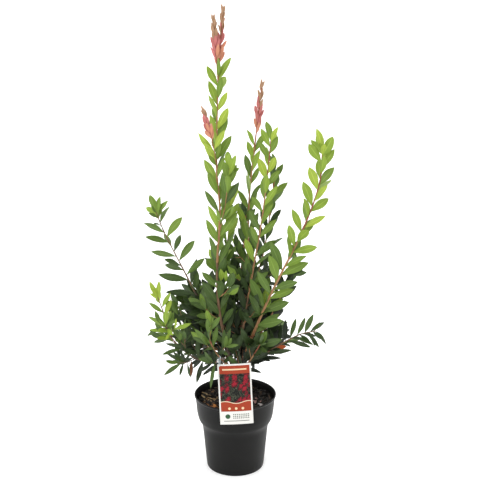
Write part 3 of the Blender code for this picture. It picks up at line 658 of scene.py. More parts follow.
GREY_WOOD = (0.5, 2.0, 2.0)
PALE_WOOD = (0.05, 0.1, 0.7)
SHOOTS = (
    Shoot("tall", ((2, -1, 234), (-17, -21, 308), (-36, -35, 400), (-41, -45, 507), (-34, -42, 640),
                   (-41, -33, 745), (-37, -16, 930), (-26, -10, 1083)),
          3.8, 95, (0.45, 1.05), spacing=13.5, leaf=66, breadth=1.04, opening=(40, 27), twigs=4,
          twig_length=56, twig_zone=0.3, young=148, slot="leaf_top", seed=1936,
          sides=(
              (((-37, -16, 930), (-42, -24, 1000), (-45.5, -30, 1057)), 104, 1.0),
              (((-40, -34, 735), (-48, -54, 796), (-67, -69, 866)), 80, 0.8),
              (((-34, -42, 600), (-21, -58, 665), (-12, -73, 745)), 0, 0.85),
              (((-37, -41, 480), (-20, -12, 550), (-10, 6, 655)), 0, 0.5))),
    Shoot("centre", ((4, 1, 256), (14, 12, 331), (29, 32, 490), (33, 31, 656), (47, 25, 797),
                     (60.5, 15, 918)),
          3.6, 85, (0.32, 1.0), spacing=15, leaf=63, opening=(38, 28), twig_length=54,
          twig_zone=0.35, young=130, slot="leaf_top", seed=6512),
    Shoot("front", ((4, -1, 244), (13, -18, 318), (38, -24, 480), (57, -30, 591), (71, -35, 700),
                    (80.5, -35, 803)),
          3, 90, (0.32, 0.95), spacing=15, leaf=65, breadth=1.04, opening=(42, 34), twigs=4,
          twig_length=56, twig_zone=0.35, slot="leaf_middle", seed=1642),
    Shoot("right", ((3, 0, 226), (20, -9, 282), (47, -40, 362), (86, -64, 463), (148, -76, 598),
                    (186, -70, 705), (193, -65, 786)),
          4, 95, (0.5, 0.95), leaf=72, breadth=1.16, opening=(52, 42), twigs=2, twig_length=46,
          twig_zone=0.3, tuft=5, wood=PALE_WOOD, slot="leaf_top", seed=5207),
    Shoot("left", ((2, 1, 246), (-24, 14, 296), (-68, 40, 369), (-124, 45, 482), (-168, 41, 575),
                   (-188, 40, 628)),
          3, 100, (0.2, 0.75), spacing=13, leaf=72, breadth=0.96, opening=(70, 62), twigs=3,
          twig_length=54, twig_zone=0.35, tuft=9, wood=GREY_WOOD, slot="leaf_middle", seed=9224),
    Shoot("back", ((3, 1, 228), (20, 17, 290), (45, 68, 430), (74, 85, 540), (97.5, 85, 722)),
          3, 95, (0.15, 0.6), spacing=14, leaf=62, opening=(44, 38), twig_length=66, twig_zone=0.4,
          slot="leaf_middle", seed=5131),
    Shoot("back_mid", ((3, 2, 230), (-1, 27, 296), (8, 78, 420), (22, 106, 540), (26, 110, 610)),
          2.8, 85, (0.1, 0.5), spacing=13.5, leaf=58, breadth=1.05, opening=(46, 34), twigs=6,
          twig_length=88, slot="leaf_middle", seed=7470),
    Shoot("low_left", ((1, 0, 224), (-40, -26, 270), (-96, -50, 296), (-150, -60, 352),
                       (-166, -60, 412), (-178, -60, 448)),
          3, 75, (0.04, 0.95), leaf=55, breadth=0.86, opening=(60, 49), lift=(-0.35, 0.5), twigs=6,
          twig_length=60, twig_zone=0.7, tuft=4, wood=GREY_WOOD, seed=4901),
    Shoot("low_right", ((1, 0, 204), (24, -10, 256), (90, -20, 307), (150, -30, 345),
                        (190, -36, 357)),
          2.8, 60, (0.1, 0.35), spacing=6.5, leaf=62, breadth=0.78, opening=(65, 50),
          lift=(1.0, -0.35), twigs=3, twig_length=49, twig_zone=0.4, wood=GREY_WOOD, seed=4365),
    Shoot("right_back", ((3, 1, 210), (31, 14, 276), (97, 50, 385), (128, 58, 450), (144, 60, 482)),
          3, 80, (0.05, 0.4), spacing=13, leaf=59, breadth=1.08, opening=(49, 28), twigs=2,
          twig_length=43, seed=68765),
    Shoot("low_front", ((1, 0, 210), (-8, -26, 256), (-38, -80, 311), (-56, -110, 360),
                        (-54, -116, 398)),
          2.6, 146, (0.28, 0.66), spacing=9.5, leaf=57, breadth=0.88, opening=(56, 24), twigs=3,
          twig_length=37, depth=1.4, slot="leaf_middle", seed=6533),
    Shoot("back_left", ((1, 0, 220), (-16, 24, 268), (-44, 70, 340), (-60, 90, 405), (-62, 94, 428)),
          3, 70, (0.05, 0.35), spacing=12, leaf=56, breadth=1.09, opening=(53, 29), twig_length=94,
          twig_zone=0.75, seed=4397),
    Shoot("low_back", ((1, 0, 202), (8, 28, 252), (46, 92, 310), (70, 136, 362), (74, 146, 400)),
          2.8, 75, (0.05, 0.35), spacing=11.5, leaf=58, breadth=1.04, opening=(67, 49),
          lift=(0.0, 0.2), twigs=8, twig_length=74, twig_zone=0.75, seed=1434),
    Shoot("low_front_right", ((1, 0, 202), (12, -24, 252), (36, -62, 295), (58, -80, 340)),
          2.4, 70, (0.2, 0.45), spacing=13.5, breadth=0.95, opening=(45, 39), lift=(0.35, 0.3),
          twigs=4, twig_length=48, twig_zone=0.7, seed=4535),
    Shoot("low_back_left", ((1, 0, 200), (-18, 26, 250), (-70, 78, 300), (-114, 100, 348),
                            (-124, 104, 382)),
          2.8, 75, (0.05, 0.35), spacing=12, leaf=64, breadth=1.08, opening=(68, 47), lift=(-0.2, 0.1),
          twigs=8, twig_length=83, twig_zone=0.8, seed=9074),
)
by_name = {shoot.name: shoot for shoot in SHOOTS}
print(len(SHOOTS), "shoots")

# %% [markdown]
# ## Side twigs and finer twigs
# Growth follows one rule. Buds sit round a stem in steps of the golden angle, which spreads
# them evenly however many there are. Twigs grow from the lower buds, shorter the higher they
# stand, and each carries finer twigs of its own. Every stem that bears leaves is kept as a run:
# its path, its thickness, and what its leaves are like.

# %% Runs
STEM_STEP = 4.0 * MM
STEM_TIP_RADIUS = 1.3
STEM_TAPER = 0.85
LEAFY_FROM = 0.8
SIDE_RADII = (1.5 * MM, 0.6 * MM)
SIDE_LEAF = 0.92
TWIG_FIRST_LEAF = 12.0
TWIG_RADII = (1.1 * MM, 0.8 * MM)
TWIG_TIP_RADIUS = 0.45 * MM
TWIG_OPENING = (40.0, 60.0)
TWIG_RISE = 0.16
TWIG_SHORTER = 0.45
TWIG_LIGHTER = 0.12
FINER_FROM = 52.0
FINER_TWIGS = 2
FINER_ZONE = 0.7
FINER_LENGTH = 0.45
FINER_LEAF = 0.9
GOLDEN_ANGLE = math.pi * (3.0 - math.sqrt(5.0))


@dataclass
class Run:
    """A stem that bears leaves: path in metres, radii and lengths in mm, tones 0 to 1."""

    shoot: Shoot
    route: np.ndarray
    radius: np.ndarray
    first: float
    leaf: float
    young: float
    tones: tuple
    spacing: float
    order: int
    seed: tuple = ()


def twigs_on(parent, count, zone, length, leaf, rng):
    """Twigs at golden-angle turns over a share of the parent's leafy length: each opens from
    it by 40 to 60 degrees, rises a sixth of its length and is shorter the higher it stands."""
    whole = along(parent.route)[-1]
    start = parent.first * MM
    share = (np.arange(count) + 0.35) / count
    point, ahead, across, up = at(parent.route, start + (whole - start) * zone * share)
    turn = np.arange(count) * GOLDEN_ANGLE + rng.uniform(0.0, 2.0 * np.pi)
    turn = turn + rng.normal(0.0, 0.3, count)
    opening = np.radians(rng.uniform(*TWIG_OPENING, count))[:, None]
    radial = across * np.cos(turn)[:, None] + up * np.sin(turn)[:, None]
    heading = unit(ahead * np.cos(opening) + radial * np.sin(opening))
    reach = length * MM * (1.0 - TWIG_SHORTER * share) * rng.uniform(0.85, 1.15, count)
    made = []
    for i in range(count):
        tip = point[i] + heading[i] * reach[i] + np.array((0.0, 0.0, TWIG_RISE * reach[i]))
        middle = point[i] + heading[i] * reach[i] * 0.5
        route = smooth_route((point[i], middle, tip), STEM_STEP)
        thick = TWIG_RADII[min(parent.order, 1)]
        low = parent.tones[0] + (parent.tones[1] - parent.tones[0]) * zone * share[i]
        made.append(Run(parent.shoot, route, tapered(route, thick, TWIG_TIP_RADIUS),
                        TWIG_FIRST_LEAF, leaf, 0.0, (low, low + TWIG_LIGHTER), parent.spacing,
                        parent.order + 1))
    return made


def runs_of(shoot):
    """The main stem of a shoot, its side shoots, its twigs and their finer twigs."""
    rng = np.random.default_rng(shoot.seed)
    route = smooth_route(np.array(shoot.through) * MM, STEM_STEP)
    radius = tapered(route, shoot.girth * MM, STEM_TIP_RADIUS * MM, STEM_TAPER)
    main = Run(shoot, route, radius, shoot.bare * LEAFY_FROM, shoot.leaf, shoot.young, shoot.tones,
               shoot.spacing, 0)
    runs = [main]
    for through, young, low in shoot.sides:
        side = smooth_route(np.array(through) * MM, STEM_STEP)
        runs.append(Run(shoot, side, tapered(side, *SIDE_RADII), TWIG_FIRST_LEAF,
                        shoot.leaf * SIDE_LEAF, young, (low, max(low, shoot.tones[1] - 0.1)),
                        shoot.spacing, 1))
    for twig in twigs_on(main, shoot.twigs, shoot.twig_zone, shoot.twig_length, shoot.leaf, rng):
        runs.append(twig)
        if shoot.twig_length > FINER_FROM:
            runs += twigs_on(twig, FINER_TWIGS, FINER_ZONE, shoot.twig_length * FINER_LENGTH,
                             shoot.leaf * FINER_LEAF, rng)
    for number, run in enumerate(runs):
        run.seed = (shoot.seed, number)
    return runs


runs = [run for shoot in SHOOTS for run in runs_of(shoot)]
print(len(runs), "runs,", round(sum(along(run.route)[-1] for run in runs), 1), "m of stem")

# %% [markdown]
# ## Leaves, worked out as numbers first
# A bottlebrush leaf is a flat pointed blade that springs straight from the stem. Where each one
# starts, which way it points and how it is rolled are arrays here, one row a leaf. New growth
# at the tips begins after a bare stretch, is packed closer and held nearer the stem, and is
# still copper and pink. A shoot without new growth ends in a small tuft of old leaves.

# %% Where leaves stand
YOUNG_BARE = 0.18
YOUNG_SPACING = 0.36
TUFT_DEPTH = 20.0 * MM


def leaf_places(run):
    """How far along the run leaves stand: evenly up to the new growth, closer in it, a tuft near
    the tip and one leaf at its very end. With them come the share of the leafy part below each,
    which are young, how far into the new growth they are, and which belong to the tuft."""
    length, first = along(run.route)[-1], run.first * MM
    young, gap = length - run.young * MM, run.spacing * MM
    tuft = 0 if run.young or run.order > 1 else run.shoot.tuft
    bare_end = max(young, first) + YOUNG_BARE * run.young * MM
    places = np.concatenate([
        np.arange(first, young, gap), np.arange(bare_end, length, gap * YOUNG_SPACING),
        length - TUFT_DEPTH * (np.arange(tuft) + 0.5) / max(tuft, 1), [length]])
    number = np.arange(len(places))
    in_tuft = (number >= len(places) - 1 - tuft) & (number < len(places) - 1)
    share = (places - first) / (length - first)
    is_young = places > young if run.young else np.zeros(len(places), bool)
    fresh = np.where(is_young, (places - young) / max(length - young, 1e-9), 0.0)
    return places, share, is_young, fresh, in_tuft


print("the tall stem bears", len(leaf_places(runs[0])[0]), "leaves")

# %% [markdown]
# Low leaves stand out from the stem and the ones above close up along it, most of all in new
# growth. A leaf has its full length in the middle of a stem and less at the foot and the tip.

# %% How far leaves open and how long they are
YOUNG_CLOSING = (0.72, 0.30)
YOUNG_SIZES = (0.58, 0.32)
YOUNG_BREADTH = 1.15
TUFT_OPENINGS = (20.0, 78.0)
TUFT_SIZES = (0.45, 0.95)
TWIG_CLOSING = 0.85
OPENING_SPREAD = 7.0
END_OPENING = 20.0
END_OPENING_YOUNG = 6.0
FOOT_SHORTER = 0.2
FOOT_SHARE = 0.12
TIP_SHORTER = 0.3
TIP_SHARE = 0.4


def openings_and_sizes(run, share, is_young, fresh, in_tuft, rng):
    """Degrees between leaf and stem, a leaf's full length there, and its own. Openings go evenly
    from the shoot's first value to its second; lengths fall off at both ends of the stem."""
    count = len(share)
    low, high = run.shoot.opening
    opening = (low + (high - low) * share) * (TWIG_CLOSING if run.order else 1.0)
    opening = opening + rng.normal(0.0, OPENING_SPREAD, count)
    closing = YOUNG_CLOSING[0] - YOUNG_CLOSING[1] * fresh
    opening = np.where(is_young, opening * closing, opening)
    opening = np.where(in_tuft, rng.uniform(*TUFT_OPENINGS, count), opening)
    opening[-1] = END_OPENING_YOUNG if run.young else END_OPENING
    foot = 1.0 - FOOT_SHORTER * np.clip(1.0 - share / FOOT_SHARE, 0.0, 1.0)
    full = run.leaf * MM * rng.uniform(0.88, 1.12, count) * foot
    full = np.where(in_tuft, rng.uniform(*TUFT_SIZES, count), 1.0) * full
    tip = 1.0 - TIP_SHORTER * np.clip(share - TIP_SHARE, 0.0, 1.0) / (1.0 - TIP_SHARE)
    young_size = YOUNG_SIZES[0] + (YOUNG_SIZES[1] - YOUNG_SIZES[0]) * fresh
    return opening, full, np.where(is_young, young_size * full, full * tip)


print("new growth opens by", YOUNG_CLOSING[0], "of the usual angle, less toward its tip")

# %% [markdown]
# A leaf seeks light, so each blade is rolled by chance and then drawn toward the bright side.

# %% Which way leaves point
LIGHT_FROM = np.array((-0.2, -0.9, 0.4))
LIGHT_DRAW = 1.8
LEAF_ROLL = (60.0, 24.0)


def directions(run, places, share, is_young, opening, rng):
    """Root, heading and facing of each leaf. Heading is the stem's direction turned outward by
    the opening; facing is square to it, rolled, and then drawn toward the light."""
    count = len(places)
    turn = np.arange(count) * GOLDEN_ANGLE + rng.uniform(0.0, 6.3) + rng.normal(0.0, 0.25, count)
    roll = rng.choice((-1.0, 1.0), count) * np.radians(rng.normal(*LEAF_ROLL, count))
    point, ahead, across, up = at(run.route, places)
    radial = across * np.cos(turn)[:, None] + up * np.sin(turn)[:, None]
    radial = unit(radial * np.array((1.0, run.shoot.depth, 1.0)))
    angle = np.radians(opening)[:, None]
    lift = run.shoot.lift[0] + (run.shoot.lift[1] - run.shoot.lift[0]) * share
    lift = np.where(is_young, 0.0, lift)[:, None] * np.array((0.0, 0.0, 1.0))
    heading = unit(ahead * np.cos(angle) + radial * np.sin(angle) + lift)
    side = unit(np.cross(ahead, heading) + 1e-6)
    facing = np.cross(heading, side)
    facing = unit(facing * np.cos(roll)[:, None] + side * np.sin(roll)[:, None])
    lit = LIGHT_FROM - heading * (heading @ LIGHT_FROM)[:, None]
    lit = lit * np.sign(np.sum(lit * facing, axis=1, keepdims=True))
    facing = unit(facing + lit * LIGHT_DRAW * rng.uniform(0.5, 1.0, (count, 1)))
    thick = np.interp(places, along(run.route), run.radius)
    return point + radial * thick[:, None] * 0.5, heading, facing


print("blades are drawn toward", LIGHT_FROM)

# %% [markdown]
# Tones are dealt by how far up its stem a leaf grows and by spray, so that a whole twig is a
# little lighter or darker. Leaves deep inside the plant, below a height, get painted shade: a
# darker tone that stands in for the shade there. Very few leaves are withered: a rare one by
# chance, and two picked by the place that they take.

# %% Tones, and all leaves in one table
LEAF_WIDTHS = (0.21, 0.26)
GREENS = 8
YOUNG_FINISHES = (8, 9, 10)
OLD_FINISHES = (11, 12)
OLD_RATE = 0.004
SPRAY_TONE = 0.11
LEAF_TONE = 0.09
# painted shade: how much darker leaves near the middle of the plant and below a height are made, for
# the shade inside it
PAINTED_INNER_SHADE = 0.26
INNER_REACH = 120.0 * MM
INNER_TOP = 560.0 * MM
INNER_BLEND = 160.0 * MM
SLOTS = ("leaf_low", "leaf_middle", "leaf_top")
# where the two withered leaves are, in mm
WITHERED = ((53, -60, 358), (122, -30, 311))
WITHERED_SIZE = 0.45


def finish_numbers(run, root, share, is_young, fresh, spray_tone, rng):
    """Each leaf's finish: its tone from 0 to 1, darkened by painted shade deep inside the plant,
    times the number of greens, or a young or old one.
    """
    count = len(share)
    tone = run.tones[0] + (run.tones[1] - run.tones[0]) * share + spray_tone
    tone = tone + rng.normal(0.0, LEAF_TONE, count)
    painted_shade_inward = np.clip(1.0 - np.hypot(root[:, 0], root[:, 1]) / INNER_REACH, 0.0, 1.0)
    # painted shade: a darker tone near the plant's middle, fading out upward toward INNER_TOP
    tone = tone - PAINTED_INNER_SHADE * painted_shade_inward * np.clip((INNER_TOP - root[:, 2]) / INNER_BLEND, 0.0, 1.0)
    finish = np.clip(np.round(tone * (GREENS - 1)), 0, GREENS - 1).astype(int)
    new_growth = np.clip(fresh * 3.0 + rng.normal(0.0, 0.35, count), 0, 2).astype(int)
    finish = np.where(is_young, np.array(YOUNG_FINISHES)[new_growth], finish)
    old = (rng.uniform(size=count) < OLD_RATE) & (share < 0.5) & (run.order > 0)
    return np.where(old, rng.choice(OLD_FINISHES, count), finish)


def leaves_on(run):
    """Leaves of one run as columns, one row a leaf: where it stands, its size and its finish,
    how far it sags, how much it curls and twists, and the slot that it belongs to."""
    rng = np.random.default_rng(run.seed)
    spray_tone = rng.normal(0.0, SPRAY_TONE) if run.order else 0.0
    places, share, is_young, fresh, in_tuft = leaf_places(run)
    opening, full, size = openings_and_sizes(run, share, is_young, fresh, in_tuft, rng)
    root, heading, facing = directions(run, places, share, is_young, opening, rng)
    finish = finish_numbers(run, root, share, is_young, fresh, spray_tone, rng)
    count = len(places)
    width = np.where(is_young, size * YOUNG_BREADTH, full) * rng.uniform(*LEAF_WIDTHS, count)
    return dict(root=root, heading=heading, facing=facing, size=size,
                width=width * run.shoot.breadth, finish=finish,
                sag=rng.uniform(-0.02, 0.10, count), curl=rng.normal(0.16, 0.16, count),
                twist=rng.normal(0.0, 0.22, count), slot=np.full(count, SLOTS.index(run.shoot.slot)))


rows = [leaves_on(run) for run in runs]
leaves = {key: np.concatenate([row[key] for row in rows]) for key in rows[0]}
middles = leaves["root"] + 0.5 * leaves["heading"] * leaves["size"][:, None]
for place in np.array(WITHERED) * MM:
    nearest = np.argmin(np.linalg.norm(middles - place, axis=1))
    leaves["finish"][nearest] = OLD_FINISHES[0]
    leaves["size"][nearest] *= WITHERED_SIZE
print(len(leaves["size"]), "leaves before any is dropped")

# %% [markdown]
# A leaf that would pass through the pot's lip or the soil, stand in front of the card or leave
# the plant's own space is dropped. Five points along each midrib are enough to tell.

# %% Drop what doesn't fit
MIDRIB_SHARES = (0.15, 0.4, 0.6, 0.8, 1.0)
SOIL_CLEAR = 178.0 * MM
LIP_CLEAR = 192.0 * MM
LIP_INSIDE = 84.0 * MM
LIP_OUTSIDE = 116.0 * MM
CARD_SIDE = 46.0 * MM
CARD_ABOVE = 306.0 * MM
CARD_BEHIND = -84.0 * MM
BOX_MARGIN = 6.0 * MM


def has_room(leaf):
    """True for each leaf none of whose five points breaks a bound."""
    steps = np.array(MIDRIB_SHARES)[None, :, None]
    midrib = leaf["root"][:, None] + leaf["heading"][:, None] * leaf["size"][:, None, None] * steps
    midrib[..., 2] -= (leaf["sag"] * leaf["size"])[:, None] * steps[..., 0] ** 2
    x, y, z = np.moveaxis(midrib, 2, 0)
    out = np.hypot(x, y)
    in_lip = (z < LIP_CLEAR) & (out > LIP_INSIDE) & (out < LIP_OUTSIDE)
    past_card = (np.abs(x - CARD_CENTRE_X) < CARD_SIDE) & (z < CARD_ABOVE) & (y < CARD_BEHIND)
    low, high = np.array(cad_box)
    outside = ((midrib < low - BOX_MARGIN) | (midrib > high + BOX_MARGIN)).any(axis=2)
    return ~(in_lip | (z < SOIL_CLEAR) | past_card | outside).any(axis=1)


keep = has_room(leaves)
leaves = {key: column[keep] for key, column in leaves.items()}
print(int((~keep).sum()), "dropped,", int(keep.sum()), "kept")

# %% [markdown]
# ## The blade
# Each blade is a thin closed shell of nine rings. Its half width rises nearly in a straight
# line from the root and falls to a point, and the two halves lift into a shallow V along the
# midrib. The same formula makes all the leaves at once: rows along, six points round each ring.

# %% Blades
LEAF_ROWS = 9
LEAF_THICKNESS = 0.5 * MM
STALK = 0.07
RING_ACROSS = np.array((1.0, 0.55, 0.0, -0.55, -1.0, 0.0))
RING_RISE = np.array((0.0, 1.0, 0.8, 1.0, 0.0, -0.8))
FOLD = 0.24
EDGE_WAVE = 0.04
POINT = 0.02


def blades(leaf):
    """Points of every leaf. At share t of the length the half width is t^1.1 (1 - t)^0.95,
    scaled to one at its widest, and never under the stalk's. The midrib bends in an arc of the
    curl's angle, sags with t squared and carries a ring that is turned by the twist times t.
    A sine along the length lets the edges wave a little."""
    t = np.linspace(0.0, 1.0, LEAF_ROWS)
    outline = t**1.1 * (1.0 - t) ** 0.95
    outline = np.maximum(outline / outline.max(), STALK * (1.0 - t) ** 0.5)
    outline[-1] = POINT
    size, width, curl = (leaf[key][:, None] for key in ("size", "width", "curl"))
    bend = np.where(np.abs(curl) < 1e-3, 1e-3, curl)
    heading, facing = leaf["heading"][:, None], leaf["facing"][:, None]
    forward = (size * np.sin(bend * t) / bend)[..., None]
    backward = (size * (1.0 - np.cos(bend * t)) / bend)[..., None]
    midline = leaf["root"][:, None] + heading * forward - facing * backward
    midline[..., 2] -= leaf["sag"][:, None] * size * t**2
    turned_facing = facing * np.cos(bend * t)[..., None] + heading * np.sin(bend * t)[..., None]
    across = np.cross(leaf["facing"], leaf["heading"])[:, None] + 0.0 * turned_facing
    twist = (leaf["twist"][:, None] * t)[..., None]
    across, normal = (across * np.cos(twist) + turned_facing * np.sin(twist),
                      turned_facing * np.cos(twist) - across * np.sin(twist))
    half = (0.5 * width * outline)[..., None, None]
    wave = EDGE_WAVE * width[..., None, None] * np.sin(9.0 * t + 40.0 * curl)[..., None, None]
    rise = (FOLD * half * np.abs(RING_ACROSS)[:, None] + wave * RING_ACROSS[:, None] ** 2
            * outline[:, None, None] + 0.5 * LEAF_THICKNESS * RING_RISE[:, None])
    return (midline[:, :, None] + across[:, :, None] * half * RING_ACROSS[:, None]
            + normal[:, :, None] * rise)


def leaf_shape(leaf):
    """All leaves as one shape: one leaf's faces, repeated with each leaf's first point added."""
    points = blades(leaf)
    count = len(points)
    map_across = np.broadcast_to(0.5 + 0.5 * RING_ACROSS, (LEAF_ROWS, 6))
    map_along = np.broadcast_to(np.linspace(0.0, 1.0, LEAF_ROWS)[:, None], (LEAF_ROWS, 6))
    _, faces, _, uv = skin(points[0], 0, np.stack([map_across, map_along], axis=2))
    starts = np.arange(count)[:, None, None] * (LEAF_ROWS * 6)
    return (points.reshape(-1, 3), (faces[None] + starts).reshape(-1, 4),
            np.repeat(leaf["finish"], len(faces)), np.tile(uv, (count, 1)))


# %% [markdown]
# The leaves' finishes are eight plain tones from deep to yellow green, then three of new growth
# and two of old leaves. Each finish draws a paler midrib and a dark tip by the leaf's own map,
# so every blade has them in its place.

# %% Leaf finishes
LEAF_TONES = (
    ("leaf_deepest", (32, 41, 26)), ("leaf_deep", (43, 55, 33)), ("leaf_dark", (55, 71, 39)),
    ("leaf_green", (71, 91, 44)), ("leaf_fresh", (89, 112, 49)), ("leaf_bright", (110, 134, 52)),
    ("leaf_light", (132, 155, 58)), ("leaf_yellow_green", (155, 173, 66)),
    ("new_salmon", (206, 136, 112)), ("new_pink", (190, 110, 110)),
    ("new_copper", (166, 128, 102)),
    ("old_orange", (176, 82, 40)), ("old_brown", (104, 64, 40)),
)


def leaf_finish(name, tone):
    """A waxy blade: its tone and a slightly deeper one in patches, a pale midrib, a dark tip."""
    tone = np.array(tone, float)
    finish, shader, colour = finish_of(name, tone, tone * (0.84, 0.88, 0.8), grain=90.0, relief=0.15,
                                       relief_grain=700.0, roughness=0.5, depth=0.2 * MM,
                                       specular=0.3)
    place = wire(finish, "ShaderNodeTexCoord").outputs["UV"]
    parts = wire(finish, "ShaderNodeSeparateXYZ", Vector=place)
    off = wire(finish, "ShaderNodeMath", {"operation": "SUBTRACT"}, i0=parts.outputs["X"], i1=0.5)
    off = wire(finish, "ShaderNodeMath", {"operation": "ABSOLUTE"}, i0=off.outputs[0])
    rib = wire(finish, "ShaderNodeMapRange", i0=off.outputs[0], i1=0.015, i2=0.05, i3=0.4, i4=0.0)
    colour = mixed(finish, rib.outputs[0], colour, light(*np.minimum(tone * 1.2 + 14.0, 250.0)))
    tip = wire(finish, "ShaderNodeMapRange", i0=parts.outputs["Y"], i1=0.93, i2=1.0, i3=0.0, i4=0.7)
    colour = mixed(finish, tip.outputs[0], colour, light(*(tone * 0.5 + (34.0, 14.0, 6.0))))
    finish.node_tree.links.new(colour, shader.inputs["Base Color"])
    return finish


leaf_finishes = [leaf_finish(name, tone) for name, tone in LEAF_TONES]
for number, slot_name in enumerate(SLOTS):
    chosen = {key: column[leaves["slot"] == number] for key, column in leaves.items()}
    masses = ["foliage_" + shoot.name for shoot in SHOOTS if shoot.slot == slot_name]
    add_piece("blades_" + slot_name[5:], leaf_shape(chosen), leaf_finishes, masses, 50.0)

# %% [markdown]
# ## Bark
# Old wood at the foot is grey brown and finely ridged, the stems above are tan, and the newest
# are reddish. A stem's relief is a sum of long waves that run with the grain and wander a little
# round it. The trunk is wider at its foot, where the roots begin under the soil.

# %% Trunk and stems
TRUNK_FOOT = np.array((1.0, 0.0, 168.5)) * MM
TRUNK_HEAD = np.array((4.0, 0.0, 262.0)) * MM
TRUNK_RADIUS_FOOT = 8.6 * MM
TRUNK_RADIUS_HEAD = 6.0 * MM
TRUNK_FLARE = 5.0 * MM
TRUNK_FLARE_HEIGHT = 9.0 * MM
TRUNK_CLOSING = 5.0 * MM
TRUNK_ROWS = 70
TRUNK_SIDES = 40
TRUNK_RELIEF = 0.035
STEM_RELIEF = 0.05
STEM_SIDES = (10, 6, 6)
STEM_SWELLING = (0.25, 0.5, 0.5)
SWELLING_LENGTH = 6.0 * MM


def bark_relief(route, sides, strength, seed, ribs=5):
    """Ridges: sines of a whole number of turns round, drifting with the distance, and knots."""
    rng = np.random.default_rng(seed)
    angle = np.linspace(0.0, 2.0 * np.pi, sides, endpoint=False)[None, :]
    far = along(route)[:, None]
    total = np.zeros((len(route), sides))
    for turns in range(2, 2 + ribs):
        drift, phase = rng.uniform(-60.0, 60.0), rng.uniform(0.0, 6.3)
        total = total + np.sin(turns * angle + drift * far + phase) / (1.0 + 0.3 * turns)
    return strength * (total + 0.8 * np.sin(far * rng.uniform(150.0, 260.0) + rng.uniform(0.0, 6.0)))


trunk_route = np.linspace(0.0, 1.0, TRUNK_ROWS)[:, None]
trunk_route = TRUNK_FOOT + (TRUNK_HEAD - TRUNK_FOOT) * trunk_route
trunk_far = along(trunk_route)
trunk_radius = tapered(trunk_route, TRUNK_RADIUS_FOOT, TRUNK_RADIUS_HEAD)
trunk_radius = trunk_radius + TRUNK_FLARE * np.exp(-trunk_far / TRUNK_FLARE_HEIGHT)
closing = np.sqrt(np.clip((trunk_far[-1] - trunk_far) / TRUNK_CLOSING, 0.02, 1.0))
relief = bark_relief(trunk_route, TRUNK_SIDES, TRUNK_RELIEF, 1, 8)
wood = [skin(tube(trunk_route, trunk_radius * closing, TRUNK_SIDES, relief))]
for number, run in enumerate(runs):
    order = min(run.order, 2)
    far = along(run.route)
    radius = run.radius * (1.0 + STEM_SWELLING[order] * np.exp(-far / SWELLING_LENGTH))
    share = far[1:] / far[-1]
    age = 0.35 + 0.5 * share if run.order else share
    finish = np.digitize(age, run.shoot.wood)
    if run.young:
        finish = np.where(far[1:] > far[-1] - run.young * MM, 3, finish)
    relief = bark_relief(run.route, STEM_SIDES[order], STEM_RELIEF, 100 + number, 3)
    wood.append(skin(tube(run.route, radius, STEM_SIDES[order], relief), finish))
bark_tones = (
    # name, lighter tone, darker tone, strength of the relief
    ("bark_old", (92, 78, 64), (60, 48, 38), 1.0),
    ("bark_brown", (126, 98, 72), (88, 64, 46), 0.7),
    ("bark_tan", (164, 124, 84), (124, 86, 56), 0.5),
    ("bark_red", (146, 84, 62), (120, 66, 50), 0.3),
)
bark_finishes = [finish_of(n, a, b, grain=260.0, relief=r, relief_grain=900.0, roughness=0.75,
                           depth=0.6 * MM, stretch=(1.0, 1.0, 0.25))[0]
                 for n, a, b, r in bark_tones]
limb_nodes = ["trunk"] + ["bough_" + shoot.name for shoot in SHOOTS]
add_piece("stems", joined(wood), bark_finishes, limb_nodes, 60.0)

# %% [markdown]
# ## The strap
# The loop goes once round the bough and both its ends meet at the card's corner. Its path is
# most of a circle square to the bough, joined to the corner by two gently bellied sides.

# %% Strap
STRAP_WIDTH = 4.0 * MM
STRAP_THICKNESS = 0.7 * MM
STRAP_REACH = 0.9
STRAP_CLEARANCE = 1.1 * MM
STRAP_CORNER = (0.06, 0.965)
LOOP_SWEEP = 0.80 * np.pi
LOOP_POINTS = 21

hung = by_name["low_front"]
hung_route = smooth_route(np.array(hung.through) * MM, STEM_STEP)
hung_radius = tapered(hung_route, hung.girth * MM, STEM_TIP_RADIUS * MM, STEM_TAPER)
place = hung.bare * MM * STRAP_REACH
centre, ahead, _, _ = at(hung_route, np.array([place]))
centre, ahead = centre[0], ahead[0]
tie = card_point(*np.array(STRAP_CORNER), 0.5 * CARD_THICKNESS)
down = unit(tie - centre)
axis = unit(ahead - down * ahead.dot(down))
out_side = np.cross(axis, down)
ring_radius = np.interp(place, along(hung_route), hung_radius) + STRAP_CLEARANCE
turn = np.linspace(-LOOP_SWEEP, LOOP_SWEEP, LOOP_POINTS)[:, None]
loop = centre - (down * np.cos(turn) - out_side * np.sin(turn)) * ring_radius
end, belly = out_side * 0.6 * MM, out_side * 0.8 * MM
path = np.vstack([tie + down * 0.5 * MM - end, 0.5 * (tie + loop[0]) - belly, loop,
                  0.5 * (tie + loop[-1]) + belly, tie + down * 0.5 * MM + end])
path = smooth_route(path, 1.5 * MM)
forward = unit(np.gradient(path, axis=0))
flat = np.cross(forward, axis)
corners = np.array(((1, 1), (-1, 1), (-1, -1), (1, -1))) * 0.5
band = (path[:, None] + axis * (corners[:, :1] * STRAP_WIDTH)[None]
        + flat[:, None] * (corners[:, 1:] * STRAP_THICKNESS)[None])
strap_finish, _, _ = finish_of("strap_plastic", (196, 208, 214), (214, 222, 226), grain=40.0,
                               relief=0.05, roughness=0.35)
add_piece("card_strap", skin(band), [strap_finish], [], 30.0)

# %% [markdown]
# ## Studio
# The photograph is a cut-out on white, so the scene has a pale floor that curves up into a
# pale backdrop, and large soft lights: one high in front, one to each side, one from above and
# one on the backdrop.

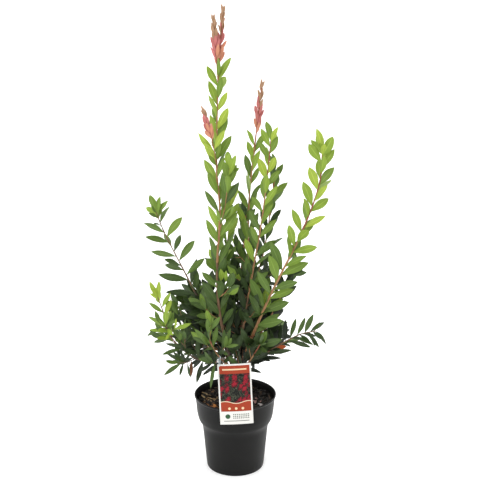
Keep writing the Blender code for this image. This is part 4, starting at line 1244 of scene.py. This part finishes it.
# %% Floor and lights
FLOOR_WIDTH = 9.0
PURE_WHITE = (1.0, 1.0, 1.0, 1.0)
PAPER_GLOW = 0.2
SKY_LIGHT = 0.7
MIDDLE = (0.0, 0.0, 0.5)
LIGHTS = (
    # name, place and aim in metres, side of the square in metres, power in watts
    ("front_light", (-0.9, -2.4, 1.9), MIDDLE, 1.6, 34.0),
    ("left_light", (-2.2, -0.6, 1.2), MIDDLE, 1.2, 14.0),
    ("right_light", (2.2, -0.8, 1.2), MIDDLE, 1.2, 14.0),
    ("top_light", (0.0, 0.2, 3.0), MIDDLE, 2.4, 44.0),
    ("backdrop_light", (0.0, 1.2, 2.6), (0.0, 3.4, 1.0), 2.0, 60.0),
)
sweep = np.array([(-4.0, 0.0), (2.2, 0.0), (2.9, 0.2), (3.3, 0.7), (3.5, 1.4), (3.5, 6.0)])
sweep = cut_corners(sweep, 3)
floor_mesh = bpy.data.meshes.new("floor")
count = len(sweep)
floor_points = np.vstack([np.column_stack([np.full(count, x), sweep]) for x in (-0.5, 0.5)])
floor_points[:, 0] *= FLOOR_WIDTH
i = np.arange(count - 1)
floor_mesh.from_pydata(floor_points.tolist(), [],
                       np.stack([i, i + count, i + count + 1, i + 1], axis=1).tolist())
floor_mesh.shade_smooth()
paper, paper_shader, _ = finish_of("backdrop_paper", (240, 240, 240), (244, 244, 244), grain=3.0,
                                   relief=0.0, roughness=0.9, specular=0.1)
paper_shader.inputs["Emission Color"].default_value = PURE_WHITE
paper_shader.inputs["Emission Strength"].default_value = PAPER_GLOW
floor_mesh.materials.append(paper)
floor = bpy.data.objects.new("floor", floor_mesh)
bpy.context.scene.collection.objects.link(floor)


def soft_light(name, place, aim, size, power):
    """A square area light that looks from its place at its aim."""
    lamp = bpy.data.lights.new(name, "AREA")
    lamp.size, lamp.energy = size, power
    thing = bpy.data.objects.new(name, lamp)
    thing.location = place
    away = np.array(place) - np.array(aim)
    level = math.hypot(away[0], away[1])
    thing.rotation_euler = (math.atan2(level, away[2]), 0.0, math.atan2(away[0], -away[1]))
    bpy.context.scene.collection.objects.link(thing)


for row in LIGHTS:
    soft_light(*row)
world = bpy.data.worlds.new("studio")
world.use_nodes = True
sky = world.node_tree.nodes["Background"]
sky.inputs["Color"].default_value = PURE_WHITE
sky.inputs["Strength"].default_value = SKY_LIGHT
bpy.context.scene.world = world
bpy.context.scene.view_settings.view_transform = "Standard"
